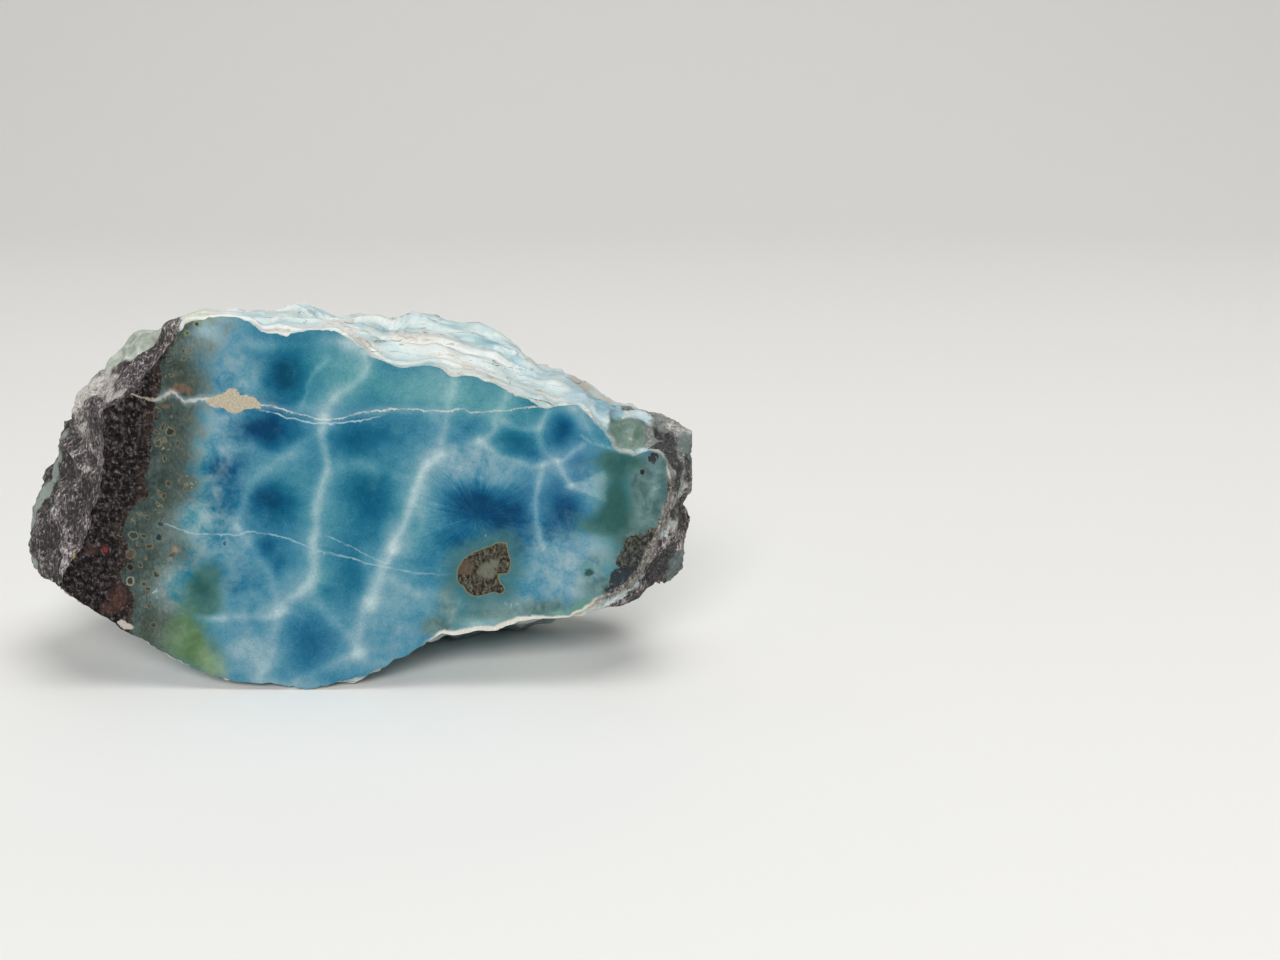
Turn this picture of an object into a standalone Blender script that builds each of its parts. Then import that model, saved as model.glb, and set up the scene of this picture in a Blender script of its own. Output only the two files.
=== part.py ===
# Rough larimar: one broken lump of blue pectolite in dark basalt, sawn flat on one side.
# It stands on the floor at z = 0, with the sawn face towards -Y.
# The skin is one surface of two parameters: the angle round the stone, and the way from the sawn
# face's rim over the shoulder to the middle of the back.

import bpy
import numpy as np

MM = 0.001

# Lengths are in millimetres: X along the sawn face, Y from the face into the stone, Z up.
# Each outline runs clockwise as seen from in front of the sawn face.

# Rim of the sawn face (X, Z): left tip, slanting basalt edge, crest, chipped corner, right end, underside.
SAWN_RIM = (
    (-49.5, 19), (-47.5, 23), (-45, 26), (-43.8, 29), (-43, 32.5), (-41.5, 35), (-40.5, 39), (-40, 46),
    (-39.8, 49.5), (-36.5, 51), (-34.3, 52.7), (-32.5, 55), (-30, 57.7), (-27.5, 61), (-25.5, 64.3),
    (-21, 65), (-16.5, 64.8), (-14.8, 64.3), (-13, 62.5), (-8.5, 62), (-4.5, 62.8), (-1.5, 62.9), (0, 62),
    (3.6, 59.9), (4.8, 58.7), (8, 57.2), (11.5, 56.6), (14, 56.9), (16, 56.4), (17.7, 55.4), (21.5, 55),
    (23.2, 54.5), (29.7, 51.7), (33.5, 49.8), (38.3, 50.3), (40.5, 48.3), (42.3, 46.8), (46, 42.6),
    (48, 41.8), (51, 42.7), (52.8, 42), (54, 38.8), (54, 35.7), (53, 31.9), (52.3, 29), (51, 26),
    (49.6, 22.7), (48, 20), (45.8, 18.1), (41.3, 16), (39.8, 14.7), (36.7, 13.1), (30.4, 12.9),
    (27.7, 12.2), (24.8, 10.9), (19.3, 10.4), (17.1, 9.9), (14.9, 10.4), (12, 7.9), (7.7, 5.7), (4.8, 3.9),
    (1.8, 2.6), (-5.9, 0.6), (-9, 0), (-12.9, 0.9), (-20, 1.5), (-23.5, 2.2), (-29, 4.6), (-34.4, 7.9),
    (-39.3, 10.8), (-45.4, 15.4), (-48.7, 17.9),
)

# Shoulder (X, Y, Z): the widest line of the stone, with the crest of the top and the rough ends.
SHOULDER = (
    (-59.3, 16, 18), (-59.2, 18, 24), (-59.2, 19, 28.5), (-58, 20, 32), (-54, 20, 37.5), (-52.8, 19, 41.5),
    (-49.5, 18, 46.7), (-46.2, 16, 50.5), (-43.8, 17, 51.5), (-42.8, 18, 53.6), (-39.5, 18, 57.3),
    (-38, 18, 58.3), (-33.7, 15, 59.3), (-31.4, 13, 61.2), (-27.7, 11, 62.6), (-23.2, 10, 64.3),
    (-19, 11, 63.2), (-17, 12, 62.6), (-14.5, 14, 62.7), (-9.5, 16, 64), (-6.6, 17, 62), (-4.4, 18, 61.2),
    (2.7, 20, 61), (5.6, 22, 60.2), (9, 24, 61), (14, 25, 59.8), (20.3, 25, 59.2), (24.6, 24, 57.5),
    (28.6, 22, 55), (32.5, 18, 53), (36.4, 15, 53), (40.4, 14, 51), (45.7, 12, 47.3), (50.5, 12, 46.8),
    (56, 12, 44.2), (57.8, 12, 42), (58.3, 12, 36.5), (56.5, 12, 29.3), (57, 12, 26.8), (55.8, 11, 23),
    (56.5, 11, 19), (54.1, 10, 16.1), (51.6, 9, 16.2), (47.9, 7, 13.8), (43.6, 5, 13.7), (36, 6, 12.3),
    (30, 8, 11.3), (22, 9, 9.8), (15.5, 10, 9.3), (12, 10, 6), (4, 10, 1.5), (-2, 10, 0), (-16, 10, -0.3),
    (-23, 10, 0.8), (-29, 10, 2.5), (-35, 9, 6), (-41, 9, 10), (-47, 9, 13), (-52.4, 8, 16.4),
    (-56.8, 13, 16.5),
)

# Edge of the back (X, Y, Z). Its two lumps that would reach under the floor are worn flat there, and the
# stone stands on them and on the front lobe.
BACK_EDGE = (
    (-52, 34, 24), (-50, 35, 35), (-44, 36, 46), (-36, 36, 54), (-26, 34, 58), (-12, 36, 58.5),
    (2, 40, 57), (14, 42, 56), (24, 40, 52), (34, 34, 47), (44, 30, 43), (51, 27, 38), (52, 27, 30),
    (51.5, 29, 21), (47, 33, 11), (40, 36, 3), (32, 37, -1), (24, 36, -2), (16, 36, -3), (8, 35, 1),
    (-6, 34, 4), (-20, 34, 1), (-28, 33, -3), (-35, 32, 0), (-44, 32, 9), (-50, 32, 16),
)

# Low hump of the back (X, Y, Z), and the line in its middle where the skin closes: its ends' X, then its
# Y and Z.
BACK_HUMP = (
    (-36, 44, 32), (-28, 45, 44), (-8, 48, 47), (14, 49, 46), (30, 45, 40), (36, 41, 31), (26, 44, 18),
    (4, 46, 14), (-16, 46, 13), (-32, 42, 20),
)
BACK_LINE_X = (20, -22)
BACK_LINE_YZ = (49, 32)

# Flat breaks across the hidden sides: outward direction, then a point on the break.
BREAKS = (
    ((0.1, 0.72, 0.69), (5, 38, 56)),
    ((-0.55, 0.62, 0.55), (-38, 31, 51)),
    ((-0.8, 0.6, -0.1), (-50, 34, 28)),
    ((0.02, 1, 0.02), (-6, 46.5, 30)),
    ((0.5, 0.8, 0.3), (27, 41, 42)),
    ((0.85, 0.5, 0.1), (50, 25, 32)),
    ((-0.3, 0.75, -0.6), (-26, 42, 8)),
    ((0.35, 0.7, -0.62), (24, 41, 8)),
    ((0.31, -0.33, -0.89), (38, 18, 6.8)),
    ((-0.5, 0.1, -0.86), (-52, 20, 11)),
)
BREAK_DEPTH = 0.92

# Middle line of the stone, which lumps push away from: its ends' X, then its Y and Z.
CORE_ENDS_X = (-28, 30)
CORE_YZ = (24, 31)

# Point (X, Z) from which every outline is seen once all round.
OUTLINE_CENTRE = (-2, 26)

# Shell-shaped hollows between sharp ridges, then small lumps: how high each is, and how far apart.
PECTOLITE_LUMPS = ((1.3, 13), (0.5, 6))
LEFT_END_LUMPS = ((1.2, 8), (0.6, 4.5))
RIGHT_END_LUMPS = ((1.3, 9), (0.7, 5))
LEFT_END_X = (-37, -45)
RIGHT_END_X = (46, 54)

# Smooth chip at the upper right, where lumps all but vanish.
CHIP_MIDDLE = (46.5, 6, 46.5)
CHIP_RADIUS = 8
CHIP_LUMP_SHARE = 0.15

# How far from the sawn rim lumps reach full height, and start to lean out of the rim's plane.
RIM_FADE = 3.5
LEAN_BACK_FADE = 12
LEAST_Y = 0.1

# Angle over which the corners of the hidden outlines are rounded, and how the skin bends at each line.
BACK_ROUNDING = 0.3
LINE_TENSION = 0.35
RIM_OVERHANG = 0.2

# Ledges that run along the top: tread, rise, the part of the tread that rises, what keeps their middle on
# the slope, the height above which they show, how they wander, and the height that nothing passes.
LEDGE_TREAD = 6.5
LEDGE_RISE = 2
LEDGE_RISER = (0.6, 1)
LEDGE_MIDDLE = 0.3
LEDGE_FROM_Z = (50, 56)
LEDGE_WANDER = 3
LEDGE_WANDER_SPACING = (26, 9, 9)
HIGHEST_Z = 65

# Mesh: points round the stone, and rows between each line and the next.
COLUMNS = 180
ROWS = (8, 7, 5, 5)
SHARP_ANGLE = 38

# Middle of the stone's footprint, which stands over the origin.
FOOTPRINT_MIDDLE = (-1.1, 23.7)


def clear_scene():
    for old in list(bpy.data.objects):
        bpy.data.objects.remove(old, do_unlink=True)


def smooth_step(value, start, end):
    part = np.clip((value - start) / (end - start), 0, 1)
    return part * part * (3 - 2 * part)


def random_at(corner, seed):
    # a fixed number from -1 to 1 for each corner of a cubic lattice
    mixed = corner @ np.array((374761393, 668265263, 1274126177)) + seed * 974711
    mixed = (mixed ^ (mixed >> 13)) * 1103515245 & 0xFFFFFFFF
    mixed = (mixed ^ (mixed >> 15)) * 374761393 & 0xFFFFFFFF
    return (mixed ^ (mixed >> 16)) / 2**31 - 1


def noise(points, spacing, seed):
    # smooth lumps from -1 to 1, blended between lattice corners that are one spacing apart
    turned = points @ np.array(((0.8, 0.36, 0.48), (-0.6, 0.48, 0.64), (0, -0.8, 0.6)))
    scaled = turned / spacing + seed * 7.3
    corner = np.floor(scaled).astype(np.int64)
    part = scaled - corner
    part = part**3 * (part * (part * 6 - 15) + 10)
    total = 0
    for step in np.ndindex(2, 2, 2):
        share = np.prod(np.where(step, part, 1 - part), axis=-1)
        total = total + share * random_at(corner + step, seed)
    return total


def angle_of(outline):
    # 0 at the left, then clockwise over the top
    flat = np.array(outline)[:, [0, -1]] - OUTLINE_CENTRE
    return np.arctan2(flat[:, 1], -flat[:, 0])


def at_angles(outline, angles):
    # the outline's points at these angles round its centre, as X, Y, Z
    points = np.array(outline, float)
    if points.shape[1] == 2:
        points = np.insert(points, 1, 0, axis=1)
    known = np.unwrap(angle_of(outline))
    turn = 2 * np.pi
    known = np.concatenate((known - turn, known, known + turn))
    points = np.tile(points, (3, 1))
    return np.stack([np.interp(angles, known, points[:, axis]) for axis in range(3)], axis=1)


def rounded_at_angles(outline, angles):
    nearby = np.linspace(-BACK_ROUNDING / 2, BACK_ROUNDING / 2, 7)
    return np.mean([at_angles(outline, angles + step) for step in nearby], axis=0)


def column_angles():
    # angles at even steps along the sawn rim and the shoulder together
    fine = np.linspace(-np.pi, np.pi, 4000)
    steps = [np.linalg.norm(np.diff(at_angles(line, fine), axis=0), axis=1) for line in (SAWN_RIM, SHOULDER)]
    run = np.concatenate(((0,), np.cumsum(sum(steps))))
    return np.interp(np.arange(COLUMNS) / COLUMNS * run[-1], run, fine)


def row_places():
    # whole numbers are the lines: sawn rim, shoulder, edge of the back, its hump, its middle
    starts = [line + np.arange(count) / count for line, count in enumerate(ROWS)]
    return np.append(np.concatenate(starts), len(ROWS))


def back_line():
    # columns pair off, top with bottom, along one line
    share = (1 - np.cos(2 * np.pi * np.arange(COLUMNS) / COLUMNS)) / 2
    line = np.empty((COLUMNS, 3))
    line[:, 0] = BACK_LINE_X[0] + (BACK_LINE_X[1] - BACK_LINE_X[0]) * share
    line[:, 1:] = BACK_LINE_YZ
    return line


def smooth_skin(rows, angles):
    # curves through the lines, from the rim to the middle of the back, one for each angle
    lines = [at_angles(line, angles) for line in (SAWN_RIM, SHOULDER)]
    lines += [rounded_at_angles(line, angles) for line in (BACK_EDGE, BACK_HUMP)]
    before = lines[0] + (lines[0] - lines[1]) * RIM_OVERHANG
    lines = np.array([before, *lines, back_line(), back_line()])
    span = np.minimum(rows.astype(int), len(ROWS) - 1)
    t = (rows - span)[:, None, None]
    p0, p1, p2, p3 = (lines[span + step] for step in range(4))
    tangent1, tangent2 = (p2 - p0) * LINE_TENSION, (p3 - p1) * LINE_TENSION
    return (
        p1 * (2 * t**3 - 3 * t**2 + 1)
        + tangent1 * (t**3 - 2 * t**2 + t)
        + p2 * (3 * t**2 - 2 * t**3)
        + tangent2 * (t**3 - t**2)
    )


def break_flat(points):
    # what stands past a break slides back to it, almost all the way
    for outward, place in BREAKS:
        outward = np.array(outward) / np.linalg.norm(outward)
        past = np.clip((points - place) @ outward, 0, None)
        points = points - past[..., None] * outward * BREAK_DEPTH
    return points


def away_from_core(points):
    core = np.empty_like(points)
    core[..., 0] = np.clip(points[..., 0], *CORE_ENDS_X)
    core[..., 1:] = CORE_YZ
    way = points - core
    way = way / np.linalg.norm(way, axis=-1, keepdims=True)
    # beside the saw cut a lump stands out sideways only, so that nothing leans past the cut
    way[..., 1] *= smooth_step(points[..., 1], 0, LEAN_BACK_FADE)
    return way


def lump_height(points):
    x = points[..., 0]
    left = smooth_step(-x, -LEFT_END_X[0], -LEFT_END_X[1])
    right = smooth_step(x, *RIGHT_END_X)
    height = 0
    zones = ((PECTOLITE_LUMPS, 1 - left - right), (LEFT_END_LUMPS, left), (RIGHT_END_LUMPS, right))
    for seed, (((hollow, apart), (lump, between)), share) in enumerate(zones):
        hollows = hollow * (0.5 - 2 * np.abs(noise(points, apart, 2 * seed + 1)))
        height = height + share * (hollows + lump * noise(points, between, 2 * seed + 2))
    off_chip = smooth_step(np.linalg.norm(points - CHIP_MIDDLE, axis=-1), CHIP_RADIUS * 0.6, CHIP_RADIUS)
    return height * (CHIP_LUMP_SHARE + (1 - CHIP_LUMP_SHARE) * off_chip)


def ledge_height(points):
    # a stair that runs along X, taken as its height above or below a plain slope
    wander = LEDGE_WANDER * noise(points / LEDGE_WANDER_SPACING, 1, 21)
    way = (points[..., 1] + wander) / LEDGE_TREAD
    part = way - np.floor(way)
    on_top = smooth_step(points[..., 2], *LEDGE_FROM_Z)
    return LEDGE_RISE * on_top * (smooth_step(part, *LEDGE_RISER) - part + LEDGE_MIDDLE)


def stone_skin():
    rows, angles = row_places(), column_angles()
    points = break_flat(smooth_skin(rows, angles))
    from_rim = np.linalg.norm(points - points[0], axis=-1)
    fade = smooth_step(from_rim, 0, RIM_FADE)
    points = points + (fade * lump_height(points))[..., None] * away_from_core(points)
    points[..., 2] += fade * ledge_height(points)
    points[1:, :, 1] = np.maximum(points[1:, :, 1], LEAST_Y)
    points[..., 2] = np.clip(points[..., 2], 0, HIGHEST_Z)
    return points


def skin_faces(row_count):
    # quads between rows, sewn up along the line in the back, and one face for the saw cut
    column = np.arange(COLUMNS)
    index = column + COLUMNS * np.arange(row_count)[:, None]
    index[-1] = index[-1, 0] + np.minimum(column, COLUMNS - column)
    after = np.roll(index, -1, axis=1)
    faces = np.stack((index[:-1], after[:-1], after[1:], index[1:]), axis=-1).reshape(-1, 4).tolist()
    return [column[::-1].tolist(), *(list(dict.fromkeys(face)) for face in faces)]


def larimar_material():
    # waxy, faintly damp sky-blue pectolite
    material = bpy.data.materials.new("blue_pectolite")
    material.use_nodes = True
    shader = material.node_tree.nodes["Principled BSDF"]
    shader.inputs["Base Color"].default_value = (0.07, 0.27, 0.42, 1)
    shader.inputs["Roughness"].default_value = 0.45
    shader.inputs["Metallic"].default_value = 0
    return material


def larimar_stone():
    skin = stone_skin()
    used = skin.size // 3 - COLUMNS // 2 + 1
    points = skin.reshape(-1, 3)[:used] - (*FOOTPRINT_MIDDLE, 0)
    mesh = bpy.data.meshes.new("larimar_stone")
    mesh.from_pydata((points * MM).tolist(), [], skin_faces(len(skin)))
    mesh.validate()
    mesh.shade_smooth()
    mesh.set_sharp_from_angle(angle=np.radians(SHARP_ANGLE))
    mesh.materials.append(larimar_material())
    stone = bpy.data.objects.new("larimar_stone", mesh)
    bpy.context.scene.collection.objects.link(stone)
    return stone


clear_scene()
larimar_stone()
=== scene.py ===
from functools import partial

import bpy
import numpy as np
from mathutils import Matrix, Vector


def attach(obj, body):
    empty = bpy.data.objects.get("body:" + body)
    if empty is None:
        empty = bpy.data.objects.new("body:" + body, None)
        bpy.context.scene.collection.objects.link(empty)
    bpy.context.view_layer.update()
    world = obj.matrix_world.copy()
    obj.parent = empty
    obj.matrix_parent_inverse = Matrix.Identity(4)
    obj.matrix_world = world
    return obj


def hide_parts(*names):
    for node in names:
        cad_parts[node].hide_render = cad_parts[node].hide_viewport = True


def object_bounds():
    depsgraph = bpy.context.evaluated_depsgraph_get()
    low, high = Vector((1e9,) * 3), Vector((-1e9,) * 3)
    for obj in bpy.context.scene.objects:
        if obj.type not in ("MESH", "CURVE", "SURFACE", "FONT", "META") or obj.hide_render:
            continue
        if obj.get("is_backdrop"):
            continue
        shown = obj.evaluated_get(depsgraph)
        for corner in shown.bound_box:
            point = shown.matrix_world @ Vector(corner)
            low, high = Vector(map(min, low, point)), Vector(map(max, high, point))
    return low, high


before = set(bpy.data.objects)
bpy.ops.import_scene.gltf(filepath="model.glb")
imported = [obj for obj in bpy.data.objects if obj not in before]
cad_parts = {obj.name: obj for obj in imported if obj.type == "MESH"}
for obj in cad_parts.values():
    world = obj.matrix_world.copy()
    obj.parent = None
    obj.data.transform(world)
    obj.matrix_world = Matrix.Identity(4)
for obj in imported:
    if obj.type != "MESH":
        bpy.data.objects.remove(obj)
cadLow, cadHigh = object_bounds()
mm = 0.001

# The stone's shape in millimetres: X along the sawn face, Y from the face into the stone, Z up.
# Outlines run clockwise as seen from in front of the sawn face. They are the solid's own outlines.
stone = {
    "sawnRim": (
        (-49.5, 19), (-47.5, 23), (-45, 26), (-43.8, 29), (-43, 32.5), (-41.5, 35), (-40.5, 39), (-40, 46),
        (-39.8, 49.5), (-36.5, 51), (-34.3, 52.7), (-32.5, 55), (-30, 57.7), (-27.5, 61), (-25.5, 64.3),
        (-21, 65), (-16.5, 64.8), (-14.8, 64.3), (-13, 62.5), (-8.5, 62), (-4.5, 62.8), (-1.5, 62.9),
        (0, 62), (3.6, 59.9), (4.8, 58.7), (8, 57.2), (11.5, 56.6), (14, 56.9), (16, 56.4), (17.7, 55.4),
        (21.5, 55), (23.2, 54.5), (29.7, 51.7), (33.5, 49.8), (38.3, 50.3), (40.5, 48.3), (42.3, 46.8),
        (46, 42.6), (48, 41.8), (51, 42.7), (52.8, 42), (54, 38.8), (54, 35.7), (53, 31.9), (52.3, 29),
        (51, 26), (49.6, 22.7), (48, 20), (45.8, 18.1), (41.3, 16), (39.8, 14.7), (36.7, 13.1),
        (30.4, 12.9), (27.7, 12.2), (24.8, 10.9), (19.3, 10.4), (17.1, 9.9), (14.9, 10.4), (12, 7.9),
        (7.7, 5.7), (4.8, 3.9), (1.8, 2.6), (-5.9, 0.6), (-9, 0), (-12.9, 0.9), (-20, 1.5), (-23.5, 2.2),
        (-29, 4.6), (-34.4, 7.9), (-39.3, 10.8), (-45.4, 15.4), (-48.7, 17.9),
    ),
    "shoulder": (
        (-59.3, 16, 18), (-59.2, 18, 24), (-59.2, 19, 28.5), (-58, 20, 32), (-54, 20, 37.5),
        (-52.8, 19, 41.5), (-49.5, 18, 46.7), (-46.2, 16, 50.5), (-43.8, 17, 51.5), (-42.8, 18, 53.6),
        (-39.5, 18, 57.3), (-38, 18, 58.3), (-33.7, 15, 59.3), (-31.4, 13, 61.2), (-27.7, 11, 62.6),
        (-23.2, 10, 64.3), (-19, 11, 63.2), (-17, 12, 62.6), (-14.5, 14, 62.7), (-9.5, 16, 64),
        (-6.6, 17, 62), (-4.4, 18, 61.2), (2.7, 20, 61), (5.6, 22, 60.2), (9, 24, 61), (14, 25, 59.8),
        (20.3, 25, 59.2), (24.6, 24, 57.5), (28.6, 22, 55), (32.5, 18, 53), (36.4, 15, 53), (40.4, 14, 51),
        (45.7, 12, 47.3), (50.5, 12, 46.8), (56, 12, 44.2), (57.8, 12, 42), (58.3, 12, 36.5),
        (56.5, 12, 29.3), (57, 12, 26.8), (55.8, 11, 23), (56.5, 11, 19), (54.1, 10, 16.1), (51.6, 9, 16.2),
        (47.9, 7, 13.8), (43.6, 5, 13.7), (36, 6, 12.3), (30, 8, 11.3), (22, 9, 9.8), (15.5, 10, 9.3),
        (12, 10, 6), (4, 10, 1.5), (-2, 10, 0), (-16, 10, -0.3), (-23, 10, 0.8), (-29, 10, 2.5),
        (-35, 9, 6), (-41, 9, 10), (-47, 9, 13), (-52.4, 8, 16.4), (-56.8, 13, 16.5),
    ),
    "backEdge": (
        (-52, 34, 24), (-50, 35, 35), (-44, 36, 46), (-36, 36, 54), (-26, 34, 58), (-12, 36, 58.5),
        (2, 40, 57), (14, 42, 56), (24, 40, 52), (34, 34, 47), (44, 30, 43), (51, 27, 38), (52, 27, 30),
        (51.5, 29, 21), (47, 33, 11), (40, 36, 3), (32, 37, -1), (24, 36, -2), (16, 36, -3), (8, 35, 1),
        (-6, 34, 4), (-20, 34, 1), (-28, 33, -3), (-35, 32, 0), (-44, 32, 9), (-50, 32, 16),
    ),
    "backHump": (
        (-36, 44, 32), (-28, 45, 44), (-8, 48, 47), (14, 49, 46), (30, 45, 40), (36, 41, 31), (26, 44, 18),
        (4, 46, 14), (-16, 46, 13), (-32, 42, 20),
    ),
    "backLineX": (20, -22), "backLineYZ": (49, 32),
    "breaks": (  # flat breaks across the hidden sides: outward direction, then a point on the break
        ((0.1, 0.72, 0.69), (5, 38, 56)),
        ((-0.55, 0.62, 0.55), (-38, 31, 51)),
        ((-0.8, 0.6, -0.1), (-50, 34, 28)),
        ((0.02, 1, 0.02), (-6, 46.5, 30)),
        ((0.5, 0.8, 0.3), (27, 41, 42)),
        ((0.85, 0.5, 0.1), (50, 25, 32)),
        ((-0.3, 0.75, -0.6), (-26, 42, 8)),
        ((0.35, 0.7, -0.62), (24, 41, 8)),
        ((0.31, -0.33, -0.89), (38, 18, 6.8)),
        ((-0.5, 0.1, -0.86), (-52, 20, 11)),
    ),
    "breakDepth": 0.92,
    "coreEndsX": (-28, 30), "coreYZ": (24, 31),  # middle line that lumps push away from
    "outlineCentre": (-2, 26),  # from here every outline is seen once all round
    "pectoliteLumps": ((1.3, 13), (0.5, 6)),  # hollows between ridges, then lumps: height and spacing
    "leftEndLumps": ((1.2, 8), (0.6, 4.5)),
    "rightEndLumps": ((1.3, 9), (0.7, 5)),
    "leftEndX": (-37, -45), "rightEndX": (46, 54),
    # the smooth chip at the upper right
    "chipMiddle": (46.5, 6, 46.5), "chipRadius": 8, "chipLumpShare": 0.15,
    "rimFade": 3.5, "leanBackFade": 12, "leastY": 0.1,
    "backRounding": 0.3, "lineTension": 0.35, "rimOverhang": 0.2,
    "ledges": (6.5, 2, (0.6, 1), 21), "ledgeFromZ": (50, 56),  # tread, rise, the part that rises, seed
    "ledgeWander": 3, "ledgeWanderSpacing": (26, 9, 9),
    "footprintMiddle": (-1.1, 23.7),
    # what the fine mesh adds
    "columns": 640,  # points round the stone
    "rows": (40, 27, 20, 12),  # rows from each outline to the next
    "faceRings": 50,  # rings from the rim to the middle line of the sawn face
    "faceLineX": (37, -27), "faceLineZ": (30, 33),
    "rimChips": (0.35, 2.2), "rimNicks": (0.22, 0.9),  # height and spacing
    "rimChipFade": 2.5, "rimChipGain": 1.6,
    "fineLumps": ((0.24, 3.2), (0.14, 1.5), (0.08, 0.8)),  # on broken pectolite
    "fineBasalt": ((0.45, 2.6), (0.28, 1.3), (0.14, 0.7)),  # on the rough ends
    "fineLedges": ((3.4, 0.6, (0.82, 1), 23), (1.5, 0.2, (0.75, 1), 24)),
    "fineStretch": (0.55, 1, 1), "hollowStretch": (0.7, 1, 1),  # lumps and hollows run longer along X
    "riserPart": (0.8, 0.95),  # the part of a stair's way that counts as its riser
    "fineHollows": ((1.1, 7), (0.5, 3)),  # chipped hollows of the back: depth and spacing
    "swells": (  # gentle swells and dips: X, Y, Z, reach, height
        (57.5, 9, 37, 4, 1.3), (39.5, 15, 50, 4, 1), (29.5, 20, 53.6, 3.4, 1), (12.6, 34, 60, 5, -1),
        (-8.7, 31, 61, 4, -0.9), (-18, 20, 63, 4, -1), (-24, 6, 64.3, 3.5, 0.9), (-48.3, 18, 48.6, 3, 1),
        (-57.6, 18, 29.5, 3, 0.9), (-56.7, 10.5, 16.5, 3, -1), (-51.3, 3.4, 17.2, 3, -0.7),
        (13.1, 17.5, 3, 4, -0.8),
        (-55.5, 19.5, 36, 3.4, -1.1), (58, 9, 30.5, 3, -1.2),
    ),
    "fineSink": 0.1, "fineFade": 1.2,  # the fine relief stays inside the solid's skin, and off the saw cut
    "sharpAngle": 40,
}


# 0 before the start, 1 past the end, and 3t² - 2t³ between them
def smoothStep(value, start, end):
    part = np.clip((value - start) / (end - start), 0, 1)
    return part * part * (3 - 2 * part)


# one fixed number from -1 to 1 for each lattice corner, from whole-number multiplying and bit mixing
def randomAt(corner, seed):
    mixed = corner @ np.array((374761393, 668265263, 1274126177)) + seed * 974711
    mixed = (mixed ^ (mixed >> 13)) * 1103515245 & 0xFFFFFFFF
    mixed = (mixed ^ (mixed >> 15)) * 374761393 & 0xFFFFFFFF
    return (mixed ^ (mixed >> 16)) / 2**31 - 1


# smooth lumps from -1 to 1: the eight lattice corners round a point, one spacing apart, blended by
# 6t⁵ - 15t⁴ + 10t³ along each axis of a lattice that is turned away from X, Y and Z
def noise(points, spacing, seed):
    turned = points @ np.array(((0.8, 0.36, 0.48), (-0.6, 0.48, 0.64), (0, -0.8, 0.6)))
    scaled = turned / spacing + seed * 7.3
    corner = np.floor(scaled).astype(np.int64)
    part = scaled - corner
    part = part**3 * (part * (part * 6 - 15) + 10)
    total = 0
    for step in np.ndindex(2, 2, 2):
        share = np.prod(np.where(step, part, 1 - part), axis=-1)
        total = total + share * randomAt(corner + step, seed)
    return total


# hollows with ridges between them: the level less twice the noise's size
def ridged(level, points, spacing, seed):
    return level - 2 * np.abs(noise(points, spacing, seed))


# a cubic from the second of four places to the third, as t runs from 0 to 1: its slope at each of the two is
# a share of the way between that place's neighbours
def cubicBetween(t, around, tension):
    p0, p1, p2, p3 = around
    slope1, slope2 = (p2 - p0) * tension, (p3 - p1) * tension
    return (
        p1 * (2 * t**3 - 3 * t**2 + 1)
        + slope1 * (t**3 - 2 * t**2 + t)
        + p2 * (3 * t**2 - 2 * t**3)
        + slope2 * (t**3 - t**2)
    )


# the sum of amount * exp(-(distance / reach)²) over ball marks
def ballMarks(marks, points):
    total = 0
    for *middle, reach, amount in marks:
        total = total + amount * np.exp(-(((points - middle) ** 2).sum(axis=-1)) / reach**2)
    return total


# an outline's angle about its centre: 0 at the left, then clockwise over the top
def angleOf(outline):
    flat = np.array(outline)[:, [0, -1]] - stone["outlineCentre"]
    return np.arctan2(flat[:, 1], -flat[:, 0])


# the outline as X, Y and Z at these angles: straight between its points, closed by repeating it a turn away
def atAngles(outline, angles):
    points = np.array(outline, float)
    if points.shape[1] == 2:
        points = np.insert(points, 1, 0, axis=1)
    known = np.unwrap(angleOf(outline))
    known = np.concatenate((known - 2 * np.pi, known, known + 2 * np.pi))
    points = np.tile(points, (3, 1))
    return np.stack([np.interp(angles, known, points[:, axis]) for axis in range(3)], axis=1)


# the same outline with its corners rounded: the mean of seven angles close together
def roundedAtAngles(outline, angles):
    nearby = np.linspace(-0.5, 0.5, 7) * stone["backRounding"]
    return np.mean([atAngles(outline, angles + step) for step in nearby], axis=0)


# angles at even steps along the sawn rim and the shoulder together
def columnAngles():
    fine = np.linspace(-np.pi, np.pi, 4000)
    outlines = (stone["sawnRim"], stone["shoulder"])
    steps = [np.linalg.norm(np.diff(atAngles(line, fine), axis=0), axis=1) for line in outlines]
    run = np.concatenate(((0,), np.cumsum(sum(steps))))
    return np.interp(np.arange(stone["columns"]) / stone["columns"] * run[-1], run, fine)


# whole numbers are the outlines: sawn rim, shoulder, edge of the back, its hump and its middle
def rowPlaces():
    starts = [line + np.arange(count) / count for line, count in enumerate(stone["rows"])]
    return np.append(np.concatenate(starts), len(stone["rows"]))


# a straight line that the columns meet on in pairs, top with bottom: half of 1 - cos of the turn is its share
def middleLine(startX, endX, startYZ, endYZ):
    share = (1 - np.cos(2 * np.pi * np.arange(stone["columns"]) / stone["columns"]))[:, None] / 2
    start, end = np.array((startX, *startYZ)), np.array((endX, *endYZ))
    return start + (end - start) * share


# curves from the rim to the middle of the back, one for each angle
def smoothSkin(rows, angles):
    lines = [atAngles(stone[name], angles) for name in ("sawnRim", "shoulder")]
    lines += [roundedAtAngles(stone[name], angles) for name in ("backEdge", "backHump")]
    before = lines[0] + (lines[0] - lines[1]) * stone["rimOverhang"]
    last = middleLine(*stone["backLineX"], stone["backLineYZ"], stone["backLineYZ"])
    lines = np.array([before, *lines, last, last])
    span = np.minimum(rows.astype(int), len(stone["rows"]) - 1)
    t = (rows - span)[:, None, None]
    return cubicBetween(t, [lines[span + step] for step in range(4)], stone["lineTension"])


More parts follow.
